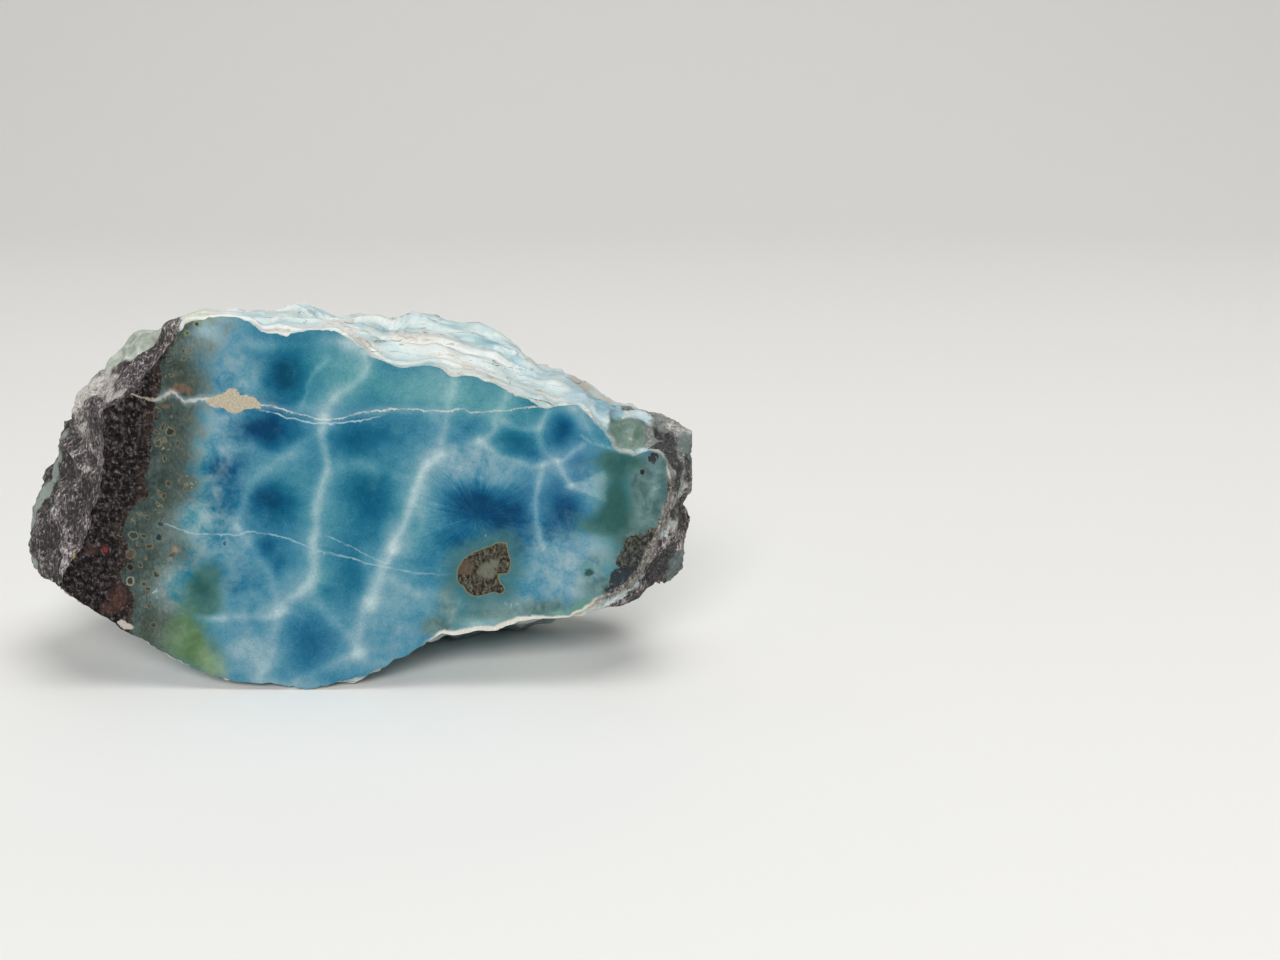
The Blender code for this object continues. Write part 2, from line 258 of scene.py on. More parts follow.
# what stands past a break's plane slides back along the plane's outward direction, almost all the way
def breakFlat(points):
    for outward, place in stone["breaks"]:
        outward = np.array(outward) / np.linalg.norm(outward)
        past = np.clip((points - place) @ outward, 0, None)
        points = points - past[..., None] * outward * stone["breakDepth"]
    return points


# the unit way out from the nearest point of the stone's middle line, without its Y part beside the saw cut
def awayFromCore(points):
    core = np.empty_like(points)
    core[..., 0] = np.clip(points[..., 0], *stone["coreEndsX"])
    core[..., 1:] = stone["coreYZ"]
    way = points - core
    way = way / np.linalg.norm(way, axis=-1, keepdims=True)
    way[..., 1] *= smoothStep(points[..., 1], 0, stone["leanBackFade"])
    return way


# how far a point belongs to the left end, to the right end, and to the blue stone between: they add up to 1
def endShares(points):
    left = smoothStep(-points[..., 0], -stone["leftEndX"][0], -stone["leftEndX"][1])
    right = smoothStep(points[..., 0], *stone["rightEndX"])
    return left, right, 1 - left - right


# hollows with ridges between them, and small lumps, each zone with its own sizes
def lumpHeight(points):
    left, right, middle = endShares(points)
    zones = (
        (stone["pectoliteLumps"], middle), (stone["leftEndLumps"], left), (stone["rightEndLumps"], right),
    )
    height = 0
    for seed, (((hollow, apart), (lump, between)), share) in enumerate(zones):
        hollows = hollow * ridged(0.5, points, apart, 2 * seed + 1)
        height = height + share * (hollows + lump * noise(points, between, 2 * seed + 2))
    fromChip = np.linalg.norm(points - stone["chipMiddle"], axis=-1)
    offChip = smoothStep(fromChip, stone["chipRadius"] * 0.6, stone["chipRadius"])
    return height * (stone["chipLumpShare"] + (1 - stone["chipLumpShare"]) * offChip)


# how far up its stair a point is, from 0 to 1, on stairs that run along X
def ledgePart(points, tread, wanderSeed):
    wander = stone["ledgeWander"] * noise(points / stone["ledgeWanderSpacing"], 1, wanderSeed)
    way = (points[..., 1] + wander) / tread
    return way - np.floor(way)


# that stair's height above or below a plain slope, on the top alone
def ledgeHeight(points, tread, rise, riser, wanderSeed):
    part = ledgePart(points, tread, wanderSeed)
    onTop = smoothStep(points[..., 2], *stone["ledgeFromZ"])
    middle = sum(riser) / 2 - 0.5
    return rise * onTop * (smoothStep(part, *riser) - part + middle)


# unit normals of a closed grid of points: the cross product of its differences along and across the rows
def gridNormals(points):
    around = np.roll(points, -1, axis=1) - np.roll(points, 1, axis=1)
    across = np.gradient(points, axis=0)
    normals = np.cross(around, across)
    return normals / np.maximum(np.linalg.norm(normals, axis=-1, keepdims=True), 1e-9)


# the solid's own skin on the finer grid, then chips along the rim, and fine lumps and ledges all over
def stoneSkin():
    rows, angles = rowPlaces(), columnAngles()
    points = breakFlat(smoothSkin(rows, angles))
    fromRim = np.linalg.norm(points - points[0], axis=-1)
    fade = smoothStep(fromRim, 0, stone["rimFade"])
    relief = lumpHeight(points)
    points = points + (fade * relief)[..., None] * awayFromCore(points)
    points[..., 2] += fade * ledgeHeight(points, *stone["ledges"])
    points[1:, :, 1] = np.maximum(points[1:, :, 1], stone["leastY"])

    # rim chips: the rim and what is near it moves in the plane of the cut, only inwards
    rim = points[0]
    inward = np.array((stone["outlineCentre"][0], 0, stone["outlineCentre"][1])) - rim
    inward /= np.linalg.norm(inward, axis=-1, keepdims=True)
    chips = 0
    for seed, (height, spacing) in enumerate((stone["rimChips"], stone["rimNicks"])):
        chips = chips + height * np.clip(noise(rim, spacing, 31 + seed), 0, None) * stone["rimChipGain"]
    nearRim = 1 - smoothStep(fromRim, 0, stone["rimChipFade"])
    points = points + (nearRim * chips)[..., None] * inward

    left, right, middle = endShares(points)
    normals = gridNormals(points)
    fine = ballMarks(stone["swells"], points) - stone["fineSink"]
    for seed, (height, spacing) in enumerate(stone["fineLumps"]):
        fine = fine + middle * height * noise(points * stone["fineStretch"], spacing, 41 + seed)
    for seed, (height, spacing) in enumerate(stone["fineBasalt"]):
        fine = fine + (left + right) * height * ridged(0.6, points, spacing, 51 + seed)
    for ledge in stone["fineLedges"]:
        fine = fine + middle * ledgeHeight(points, *ledge)
    offTop = 1 - smoothStep(points[..., 2], *stone["ledgeFromZ"])
    for seed, (height, spacing) in enumerate(stone["fineHollows"]):
        hollows = ridged(0.45, points * stone["hollowStretch"], spacing, 55 + seed)
        fine = fine + middle * offTop * height * hollows
    points = points + (smoothStep(fromRim, 0, stone["fineFade"]) * fine)[..., None] * normals
    points[1:, :, 1] = np.maximum(points[1:, :, 1], stone["leastY"])
    points[0, :, 1] = 0
    footprint = (*stone["footprintMiddle"], 0)
    points = np.clip(points, np.array(cadLow) / mm + footprint, np.array(cadHigh) / mm + footprint)
    # the riser share of the fine ledges, later whitened on the broken skin as crust and painted highlight
    riser = smoothStep(points[..., 2], *stone["ledgeFromZ"])
    tread, *_, wanderSeed = stone["fineLedges"][0]
    riser = riser * smoothStep(ledgePart(points, tread, wanderSeed), *stone["riserPart"])
    return points, fromRim, relief, fine, riser


# rings of the flat face: straight from the rim to the face's middle line, evenly spaced
def sawnFace(rim):
    low, high = stone["faceLineZ"]
    line = middleLine(*stone["faceLineX"], (0, low), (0, high))
    share = (np.arange(1, stone["faceRings"] + 1) / stone["faceRings"])[:, None, None]
    return rim + (line - rim) * share


# quads between the rows of one grid; the last row is sewn to itself, top with bottom
def sewnIndex(rowCount, first):
    column = np.arange(stone["columns"])
    index = column + stone["columns"] * np.arange(rowCount)[:, None] + first
    index[-1] = index[-1, 0] + np.minimum(column, stone["columns"] - column)
    return index


def quadsOf(index):
    after = np.roll(index, -1, axis=1)
    return np.stack((index[:-1], after[:-1], after[1:], index[1:]), axis=-1).reshape(-1, 4)


print("stone: working out the skin")
skin, fromRim, relief, fineRelief, riser = stoneSkin()
face = sawnFace(skin[0])
lineCount = stone["columns"] // 2 + 1
skinUsed = skin.size // 3 - stone["columns"] + lineCount
faceUsed = face.size // 3 - stone["columns"] + lineCount
places = np.concatenate((skin.reshape(-1, 3)[:skinUsed], face.reshape(-1, 3)[:faceUsed]))
skinQuads = quadsOf(sewnIndex(len(skin), 0))
faceIndex = sewnIndex(len(face), skinUsed)
faceIndex = np.concatenate((np.arange(stone["columns"])[None], faceIndex))
faceQuads = quadsOf(faceIndex)[:, ::-1]
quads = np.concatenate((skinQuads, faceQuads))
print("stone:", len(places), "points,", len(quads), "quads")


def makeStone():
    world = (places - (*stone["footprintMiddle"], 0)) * mm
    mesh = bpy.data.meshes.new("larimarStone")
    mesh.from_pydata(world.tolist(), [], [list(dict.fromkeys(quad)) for quad in quads.tolist()])
    mesh.polygons.foreach_set("material_index", np.arange(len(quads)) >= len(skinQuads))
    mesh.shade_smooth()
    mesh.set_sharp_from_angle(angle=np.radians(stone["sharpAngle"]))
    piece = bpy.data.objects.new("larimarStone", mesh)
    bpy.context.scene.collection.objects.link(piece)
    return piece


larimarStone = makeStone()

# Where the markings are, in millimetres. A soft mark on the sawn face is X, Z, its reach along each, and how
# strong. A ball mark on the broken skin is X, Y, Z, its reach, and how strong.
pattern = {
    "warp": ((0.55, 7), (0.3, 2.4)),  # how far the noise bends every marking, and over what length
    "shearX": 0.22, "shearZ": -0.12,  # how the markings slant as they go into the stone
    "basePaleness": 0.44, "palenessRange": (0.03, 0.9),
    # behind the face the markings bend further: over this depth, by this height and spacing
    "deepFrom": (0, 12), "deepBend": (4, 13),
    "netWander": 5,  # over what length the net's veins widen and narrow
    # edges of the basalt on the left and right: noise beside the face and behind it, and slant
    "leftBasaltRough": ((1.4, 4), (2.5, 9)), "leftBasaltSlant": 0.3,
    "rightBasaltRough": ((0.8, 3), (2, 7)), "rightBasaltSlant": 0.05,
    # where the thin veins show along X: from, fully from, fully to, to, and how strong
    "veinSpans": {
        "braid": (-15, -12, 2, 8, 0.8), "pale": (-33, -29, 12, 17.5, 0.5), "strand": (-5, -3, 4, 9, 0.5),
    },
    # each vein of the net has a narrow core and a wider, weaker haze, and its width and core wander
    "coreShare": 0.62, "hazeShare": 0.36, "hazeReach": 2.9, "hazePower": 1.5,
    "widthWander": 0.25, "coreWander": 0.1, "deepGlowLoss": 0.6, "greenGlowLoss": 0.5,
    "rimReach": 8,  # how deep behind the face the distance to the rim is worked out
    # stretches of the rim: how strong, where they set in along X, and where they end along X or Z
    "crustFromX": (11, 15), "lowCrustToZ": (19, 24), "endCrust": (0.9, (46, 49), (38, 41)),
    "chipCrust": (0.4, (40, 42), (40, 42)),  # sets in along Z too
    "rimWidth": 0.35, "widerBelow": (0.5, (12, 18), (28, 34)), "widerRight": (0.3, (40, 44), (30, 35)),
    "rimGrey": (1, (39, 44), (37, 39)),
    "darkCells": (
        (-9.3, 55.6, 4.2, 4.6, 0.42), (-13.4, 46, 4.6, 3.2, 0.46), (-6.5, 44.5, 4, 2.5, 0.16),
        (-20.6, 39.4, 3.4, 2.6, 0.3), (-21.9, 38.7, 1.2, 1.1, 0.12), (-12.4, 33.8, 4.4, 4.2, 0.4),
        (-14.3, 35.2, 2, 2, 0.1), (1.2, 44.2, 4.8, 3, 0.29), (4.4, 33.8, 4.8, 5.6, 0.31),
        (1.5, 36.5, 3, 3, 0.1), (-7.4, 9.2, 4, 4.6, 0.24), (28.6, 44.3, 3.8, 2.6, 0.35),
        (35.8, 46.1, 2.1, 2.6, 0.36), (39.8, 44.2, 1.6, 1.2, 0.16), (27.6, 26.4, 1.6, 1.6, 0.14),
        (-5.1, 18, 1.6, 1.4, 0.16), (-19.8, 18, 1.6, 1.2, 0.1), (-14.6, 26, 1.8, 1.2, 0.1),
        (20.2, 33.2, 4.2, 3, 0.44), (26.4, 31.2, 4.6, 3.4, 0.42), (36.3, 33.2, 3, 3.8, 0.37),
        (-13, 23.5, 3.4, 3.4, 0.26), (0.5, 21, 3.8, 5.5, 0.26), (17.5, 26.5, 4, 2.6, 0.26),
        (27, 49, 3, 1.2, 0.12), (-8.5, 50.8, 4.5, 1.4, 0.1), (-20.5, 27.5, 3, 3, 0.05),
        (10, 23, 4, 1.5, 0.12), (38.5, 40.6, 2, 1.2, 0.18), (21, 46.5, 2.4, 1.5, 0.12),
        (-25, 21, 2.6, 4, 0.1), (30, 35, 3, 6, 0.08), (-7, 40, 4, 2.4, 0.14), (6, 56.6, 3, 2, 0.08),
        (3, 57.5, 3, 2, -0.1), (-21.5, 33.5, 3.4, 3, 0.16), (-15, 59.4, 2, 1.6, 0.14),
        (2, 54.2, 9, 1.6, 0.11), (5, 51.9, 3.4, 1.4, 0.14), (32, 50.6, 2, 1.6, 0.18), (6.6, 46, 4, 2, 0.12),
        (-12.5, 42.6, 3, 1.8, 0.15), (22.2, 44.6, 2.4, 1, 0.14), (17.3, 44.2, 1.6, 1, 0.14),
        (37, 31.4, 2, 1.4, 0.12), (32.6, 29, 1.6, 1.4, 0.1), (31, 41.6, 3, 1.2, 0.1),
        (34.4, 28.4, 3.2, 2.2, 0.16), (29, 25.6, 2.4, 2, 0.16), (-14.4, 26.2, 2, 1.4, 0.18),
        (-5.4, 18.4, 1.6, 1.2, 0.2), (5, 20.4, 1.4, 2, 0.14), (-19.8, 18.4, 1.6, 1.4, 0.14),
        (-2, 58.6, 3, 2, 0.1),
    ),
    "hazes": (
        (-19.5, 56.5, 5, 5, 0.1), (-21.5, 46, 3.4, 3.6, 0.2), (36.4, 22.6, 7, 5, 0.2),
        (8.6, 12.6, 6.5, 4.4, 0.13), (-18.6, 7.4, 4.6, 4, 0.3), (19.6, 40.6, 6, 2.2, 0.22),
        (12.6, 33.5, 2.4, 6.5, 0.18), (-16.5, 26, 7, 3, 0.14), (-9.5, 38, 3.5, 3.5, 0.1),
        (12, 17.5, 5, 1.2, 0.14), (-20.5, 17.5, 4, 3, 0.12), (22, 37.6, 6, 1.6, 0.12), (45, 27, 3, 4, 0.14),
        (38, 18.6, 5, 2.6, 0.12), (0.6, 60.6, 3, 1.6, 0.3), (4.6, 58.8, 2, 1.2, 0.2),
        (-2.4, 58.4, 3, 2, 0.16), (-22, 62.4, 4, 2, 0.34), (-20, 65, 4, 1.6, 0.36),
        (-20.5, 59.8, 3.2, 2, 0.14), (-15, 54.4, 2, 2, 0.24), (2.4, 59.6, 2, 1.2, 0.14),
        (-6.8, 49.8, 3, 1.4, 0.26), (-17.6, 48.6, 3, 1.2, 0.22), (14.8, 48.2, 2, 2, 0.14),
        (26.4, 48.6, 3, 3, 0.12), (37.8, 49.2, 2, 1.6, 0.26), (40, 47, 2, 2, 0.16),
        (-14.6, 37.8, 3, 2, 0.17), (2.4, 39.2, 2, 1.4, 0.14), (27, 38, 3, 2.2, 0.15),
        (9.8, 24.5, 1.6, 3, 0.15), (8.6, 34, 2, 4, 0.08), (39.6, 34, 2, 2, 0.18),
        (-10.6, 20.8, 2.4, 1.6, 0.13), (-14.6, 14, 2.4, 1.6, 0.14), (21.6, 12.2, 3.6, 1.2, 0.26),
        (-24.6, 31, 2, 2.4, 0.2), (-22, 24, 2, 3, 0.1), (5, 5, 3, 1.4, 0.18), (-14, 1.6, 4, 1.2, 0.24),
        (-8, 1, 3, 1, 0.2), (39.4, 18, 2, 1.6, 0.2), (2.4, 23.6, 1.8, 1.6, 0.14), (7.4, 28.6, 1.4, 2, 0.12),
        (34.8, 26, 2, 1.4, 0.14), (36.4, 49.8, 2.4, 1.2, 0.1), (40.4, 26.1, 3, 2.4, 0.14),
        (-2, 53, 3, 3, 0.1), (-14, 59, 3, 3, 0.1), (12, 53.4, 12, 3.6, 0.14), (-12, 60.6, 4, 1.2, 0.2),
        (26, 13.6, 8, 1.4, 0.24), (-8, 41.5, 2.6, 2, 0.12), (28, 15, 6, 1.6, 0.1), (7.5, 8, 4, 3, 0.1),
    ),
    "cloudy": (
        (-19.5, 56, 6, 6, 0.9), (-21, 45, 5, 8, 1), (-22, 33, 5, 8, 0.9), (-30, 28, 6, 13, 0.8),
        (36, 22, 8, 7, 0.8), (34, 27, 5, 4, 0.7), (8, 12, 8, 6, 0.4), (-18, 7, 6, 5, 0.4),
        (20, 40, 7, 3, 0.9), (40.3, 36.7, 3.5, 3, 0.9), (47, 32, 4, 8, 0.9), (26, 15, 9, 3, 1),
        (-21, 20, 6, 6, 0.6), (-26, 29, 4, 6, 0.8), (41, 21, 3, 4, 0.6),
    ),
    "teal": (
        (10, 53.4, 11, 3.6, 0.9), (22, 51.6, 9, 3, 1), (30, 49.5, 5, 2, 0.7), (1, 56.5, 5.5, 3.5, 0.7),
        (22.5, 21.8, 7.5, 6.5, 0.6), (24, 13.6, 10, 2.6, 1), (43.4, 36, 3.6, 8, 0.9), (-25, 40, 3, 12, 0.7),
        (-27, 57, 3, 5, 0.8), (28, 44, 5, 3.4, 0.4), (4, 40, 9, 9, 0.4), (0, 21, 8, 6, 0.35),
        (-31, 27, 6, 13, 1), (46, 24, 4, 8, 0.7), (45, 40, 3, 3, 0.7), (-3, 30, 4, 6, 0.3),
        (-27, 17, 4, 6, 0.5), (-6, 20, 4, 4, 0.3), (12, 29, 3, 8, 0.3), (-8, 56, 6, 6, 0.75),
        (-10, 35, 6, 6, 0.5), (28, 45, 5, 3, 0.3), (4, 33, 6, 6, 0.3),
    ),
    "cornflower": (
        (37.5, 41.3, 4.5, 2.6, 0.6), (38, 36, 5, 4, 0.45), (36, 23, 5.5, 4.6, 0.2),
        (-20.5, 39.5, 3.4, 3, 0.3), (20, 33, 6, 4, 0.15), (41, 30, 2.4, 3, 0.3), (-20, 48, 3, 3, 0.2),
        (-6, 9, 4, 4, 0.2), (31, 34, 3, 5, 0.3),
    ),
    # green stone: darker or lighter by its tone
    "green": (
        (-25.3, 18.6, 3, 3.4, 0.75), (-25.5, 15.4, 2.8, 2.2, 1), (-26.8, 54.8, 2.2, 5, 0.7),
        (45, 32.6, 2.8, 6.4, 0.95), (41, 29.4, 3.6, 1.8, 0.75), (45.6, 40.2, 3, 2.4, 0.85),
        (42.6, 41, 2, 1.6, 0.6), (-22.6, 21, 2, 2.6, 0.5), (35.6, 14, 2.6, 1, 0.9),
        (-22.6, 64.6, 4, 1.5, 0.8), (-31.5, 14, 2.6, 4, 0.6), (48.5, 40.6, 2, 1.4, 0.5),
        (-27.5, 42.5, 2, 6, 0.5), (-31.6, 52, 1.6, 5, 0.5),
    ),
    "greenTone": (
        (-25.5, 18.6, 2.6, 3, -0.16), (-26.8, 54.8, 3, 6, -0.2), (44.6, 32, 3.6, 7, -0.22),
        (45, 40.4, 3, 2.4, -0.1), (-23.5, 4.2, 4, 3, 0.22), (-22.6, 64.6, 5, 2, 0.5),
        (35.6, 14, 3, 1.2, 0.2), (-31, 9, 3, 2, 0.1), (-27.5, 42.5, 2, 6, -0.2), (48.5, 40.6, 2, 1.4, -0.1),
        (-31.6, 52, 2, 5, -0.3),
    ),
    # grey-teal, cloudy stone beside the right end, with its own lighter parts
    "greyTeal": (
        (24, 14, 9, 2.2, 0.7), (33.5, 15.2, 4, 2, 0.6), (14.4, 10.8, 3.4, 2, 0.8), (16.4, 18, 2.4, 4, 0.45),
        (41, 18.4, 3.4, 3.2, 0.65), (41, 23.4, 3, 2, 0.5), (-22.4, 53.4, 3, 3, 0.5),
        (-24.4, 46.4, 2.4, 2.6, 0.6), (49.8, 34, 2.8, 6, 1.1), (50.8, 38.6, 2.4, 2.6, 1),
        (52.8, 35.6, 1.8, 5, 1), (53, 40.6, 2, 2, 0.9), (47.4, 28.4, 2.6, 2.6, 0.9),
        (45.6, 24, 1.6, 4, 0.5), (52, 31, 1.8, 5, 0.8), (43.4, 19, 1.4, 2, 0.5),
    ),
    # speckled basalt inside the face's right end: black, and grey-brown
    "blackRight": (
        (47, 18.8, 3.1, 2.1, 1.2), (45, 20.6, 1.3, 1.4, 0.9), (51.2, 41.4, 0.8, 1.2, 1.1),
        (53.8, 35.6, 0.6, 3.4, 1), (52.9, 31, 0.5, 1.6, 0.8), (50.6, 41, 0.5, 0.8, 0.7),
        (49.4, 21, 1.5, 1.6, 1), (49.4, 23.6, 1.3, 1.5, 0.9), (46.8, 21, 1.6, 1.4, 1),
        (44.4, 17.4, 1.8, 1.3, 1),
    ),
    "brownRight": (
        (49.2, 24.4, 2.7, 3.1, 1.2), (51.3, 28, 1.5, 1.6, 0.8), (46.4, 23, 2, 1.8, 1),
        (47.6, 26.4, 1.8, 1.6, 0.8),
    ),
    # grey-green zone beside the left basalt, where it's wider or deeper, and the pinkish brown patch in it
    "margin": (
        (-31, 25, 5, 11, 3), (-29, 42, 3, 6, 1), (-25, 48, 2.6, 2.6, 1.4), (-27.6, 25, 2.6, 3, 2.6),
        (-27.4, 21, 2, 3, 1.4), (-27, 55, 3.4, 6, 1.8), (-25.5, 36.5, 2.4, 2, 1), (-29.6, 19, 3, 4.5, -3.5),
        (-22.6, 63, 4, 2.6, -4),
    ),
    # paler and bluer margin
    "marginPale": (
        (-31.6, 18, 3.4, 4.4, 1.4), (-29, 26, 3.4, 5, 0.7), (-26.6, 31, 2.4, 2.4, 0.8),
        (-24.8, 59.4, 2, 2.2, 0.8),
    ),
    # where tan lines coil through the margin
    "coils": (
        (-28.6, 46, 1.5, 1.3, 1), (-30, 43.2, 1.5, 1.1, 1), (-26.4, 37, 2.1, 1.5, 1.1),
        (-31.6, 32.6, 1.6, 2.4, 0.7), (-36.4, 30.6, 1, 1.2, 0.7), (-29.5, 51.4, 1.6, 1, 0.6),
    ),
    "marginBrown": (
        (-26.9, 53, 1.9, 1, 1.1), (-29.4, 50, 1.6, 0.8, 0.7), (-31, 46, 1, 3, 0.4),
        (-24.6, 52.6, 1.2, 0.8, 0.5),
    ),
    "redBrown": (
        (-39.6, 16.6, 1.9, 2.6, 1), (-42, 14.6, 2, 1.4, 0.6), (-43, 25.4, 3, 2, 0.6),
        (-32.6, 47, 1, 4, 0.5), (-34, 54, 2, 2, 0.6),
    ),
    # the whitish bit low on the left
    "endFleck": ((-38.4, 11.6, 1.3, 0.8, 1), (-39.6, 12.4, 0.8, 0.6, 0.8)),
    "flecks": (
        (24, 28, 6, 2.6, 0.8), (27, 15.5, 5, 2, 1), (-33, 17.6, 2.6, 3.4, 1), (40, 37, 3, 3, 0.6),
        (47, 37, 4, 4, 0.7), (46, 30, 3, 3, 0.5), (19, 27, 3, 2, 0.4), (-30, 27, 4, 4, 0.6),
        (44, 43, 4, 2, 0.6), (-29, 10, 5, 3, 0.5),
    ),
    # closed outlines
    "inclusion": (
        (26.3, 26.6), (26.6, 25), (27, 22.9), (26.5, 21), (25, 20.8), (25.3, 19.4), (26, 18.5),
        (25.3, 17.4), (23.6, 17.6), (21.2, 16.9), (19.8, 17.4), (19, 18.5), (17.9, 19.7), (17.9, 21.5),
        (18.8, 23.3), (20.5, 24.7), (22.6, 25.6), (24.3, 26.3),
    ),
    "olive": (
        (-38, 10.4), (-36.4, 13), (-32.4, 14.8), (-28.6, 15.4), (-26, 13.8), (-24.6, 11), (-22.6, 7),
        (-21.6, 3.4), (-23.6, 0.6), (-28, 3), (-33, 5.6),
    ),
    "triangle": (
        (36.2, 36.3), (39.6, 37.6), (43.1, 38.9), (43.4, 36), (43.2, 33.6), (41, 34.4), (38.4, 35.4),
    ),
    "lens": ((37.3, 15.2), (39.2, 16.7), (41.7, 16.8), (40.9, 15.3), (39.2, 14.2), (37.6, 13.9)),
    "creamBlob": (
        (-23, 50.8), (-21.8, 51.4), (-20.2, 51.8), (-18.8, 52.8), (-17.4, 52.9), (-16.8, 51.9),
        (-15.6, 51.9), (-14.2, 51), (-13.6, 49.9), (-15, 49.5), (-16.4, 49.4), (-17.2, 48.8), (-18.8, 48.8),
        (-19.8, 49.6), (-21.6, 49.9),
    ),
    # soft white veins of the net: half width, strength, path
    "net": (
        (0.85, 0.5, ((4.2, 58.6), (3.4, 55.7), (0.2, 52.7), (-2.6, 50), (-3, 48))),
        (
            0.95, 0.6,
            (
                (-3, 48), (-3.5, 45), (-3, 40.2), (-4.2, 35.5), (-5.9, 29.4), (-6.7, 25), (-6.6, 21),
                (-8.2, 18.5),
            ),
        ),
        (1.0, 0.4, ((-7.4, 18.5), (-9.8, 17), (-12.3, 14.4), (-13.8, 9.5), (-14.7, 5.3), (-17, 2))),
        (1.1, 0.22, ((22.6, 43.7), (18.8, 43.6), (15, 41.6))),
        (1.15, 0.72, ((15, 41.6), (12.6, 38.6), (11.2, 34.6), (9.5, 29.9), (7.5, 25))),
        (1.3, 0.66, ((7.5, 25), (5.4, 21), (3.3, 16.2))), (1.3, 0.5, ((3, 16.2), (1.1, 11.1), (0.6, 7))),
        (0.7, 0.5, ((22.6, 43.7), (24.9, 41.6), (27.9, 40.3), (31, 39.3), (32.5, 39.5), (34.9, 40.7))),
        (0.8, 0.4, ((18.3, 54.4), (17.3, 48.8), (15.4, 44.1))),
        (0.7, 0.4, ((27, 53), (25.7, 48.8), (25, 45.8), (22.6, 43.7))),
        (0.6, 0.3, ((26.5, 47.3), (29.5, 46.1), (32.1, 46.5))),
        (0.5, 0.45, ((33.6, 49.2), (32, 46.4), (32.6, 43), (35.2, 40.7), (38, 42.2), (39.6, 43.4))),
        (0.55, 0.5, ((32.5, 39.5), (32, 36.2), (31.7, 32.2), (32.3, 27.5), (33, 25.9))),
        (0.5, 0.5, ((35.2, 40.7), (36.2, 38), (37.4, 36.4))),
        (0.8, 0.3, ((-3.2, 45.6), (-8.3, 43), (-12.4, 39.6), (-15.6, 36.6), (-17.4, 33), (-18.5, 29.1))),
        (0.8, 0.34, ((-18.5, 29.1), (-15.7, 24.3), (-13.9, 21), (-13, 17.8), (-12.7, 14.4))),
        (0.65, 0.42, ((-26.5, 13.6), (-20.9, 13.5), (-13.9, 13.3), (-11, 14.6))),
        (0.9, 0.34, ((-6, 16.6), (-2.3, 11.1), (0.6, 7.6))), (0.9, 0.36, ((0.6, 7), (-5.9, 3.7), (-10, 2))),
        (0.3, 0.3, ((-7.2, 49.5), (-5.9, 52.4), (-4.3, 55.6), (-2.6, 57.6))),
        (1.2, 0.2, ((-2, 39.4), (4, 39.6), (9.6, 37.6))),
        (0.7, 0.3, ((5.4, 20.3), (8, 19.4), (11.6, 17.6))),
        (0.7, 0.22, ((-27, 44), (-22, 42), (-17, 42.6), (-12, 41.2), (-7, 42))),
        (0.22, 0.5, ((39.4, 44.6), (41, 43.7), (43, 43.1), (46.4, 42.2), (48.8, 41.2))),
        (0.3, 0.4, ((-27.6, 16), (-25, 14.2), (-22.3, 13.4))),
        (0.25, 0.4, ((16.4, 12.2), (17.4, 14), (18.4, 16.6))),
        (0.2, 0.4, ((49, 37.4), (51.2, 36.4), (52.6, 34))),
        (0.2, 0.36, ((50.3, 36.9), (51.6, 34.4), (50.6, 32))),
        (0.35, 0.3, ((39.4, 50), (40.6, 45.6), (41.6, 44.2))),
    ),
    "netKnots": (
        (0.5, 7, 1.1, 1, 0.3), (22.6, 43.4, 1.6, 0.8, 0.06), (32.4, 39.4, 0.8, 0.8, 0.2),
        (-3, 48.2, 1.1, 1, 0.2), (-19, 29.4, 0.9, 0.9, 0.25), (5.6, 23.2, 1.2, 1.6, 0.14),
        (-17.6, 3.4, 1.6, 1.4, 0.2),
    ),
    # fibres fan out from these points: X, Z, reach, strength
    "fibreCentres": (
        (21.5, 31, 14, 0.5), (22.5, 21.7, 13, 0.4), (-12.5, 33.5, 7, 0.2), (-7.5, 9.5, 8, 0.2),
    ),
    # the cream vein across the face, and its half width along X
    "cream": (
        (-41, 51.6), (-38, 52), (-35.8, 52.3), (-34, 51.9), (-32.6, 51.3), (-30.5, 51.2), (-29.5, 51.8),
        (-27.8, 52.2), (-26.2, 50.8), (-24.4, 51), (-22.8, 51.2), (-14.6, 50.2), (-12, 50.1), (-10, 49.5),
        (-8.2, 48.9), (-5.8, 48.3), (-3.5, 47.7), (-1.5, 47.8), (2, 48.7), (5.6, 49.2), (9.4, 49.5),
        (13.2, 49.3), (16.5, 49.1), (19.5, 49.5), (21.3, 48.9), (24.4, 49.1), (27.1, 49.3), (29.7, 49.7),
        (33.8, 50),
    ),
    "creamWidth": (
        (-42, 0.06), (-38, 0.12), (-35.4, 0.1), (-33, 0.16), (-31.4, 0.3), (-29.6, 0.34), (-28.6, 0.26),
        (-27.4, 0.2), (-25.6, 0.2), (-23, 0.2), (-14.5, 0.12), (-6, 0.06), (5, 0.09), (20, 0.08),
        (33.6, 0.06), (34.6, -0.3),
    ),
    "braid": ((-15, 49.9), (-12, 48.9), (-8.6, 47.9), (-5.3, 47.2), (-1.5, 47.1), (3.5, 47.7), (8, 48.8)),
    # thin pale vein across the lower half, and its second strand
    "pale": (
        (-30.7, 29.7), (-28.5, 28.9), (-26.2, 28.2), (-24.1, 28), (-20.7, 28), (-19, 27.7), (-16.8, 28.4),
        (-13, 27.9), (-9.7, 27), (-8.4, 26.3), (-5.6, 25.2), (-2.9, 24.5), (-0.1, 23.8), (4.1, 22.6),
        (8.1, 21.7), (12.3, 21), (17.2, 20.8),
    ),
    "strand": ((-5, 28.2), (-1, 26.4), (4.6, 23.4), (9, 22.4)),
    # where the dark basalt begins at the left, from the top down, and at the right
    "leftBasalt": (
        (-25.4, 66), (-26.4, 62.6), (-27.2, 61), (-29.6, 57), (-30.6, 53.5), (-31.2, 50.3), (-32, 46),
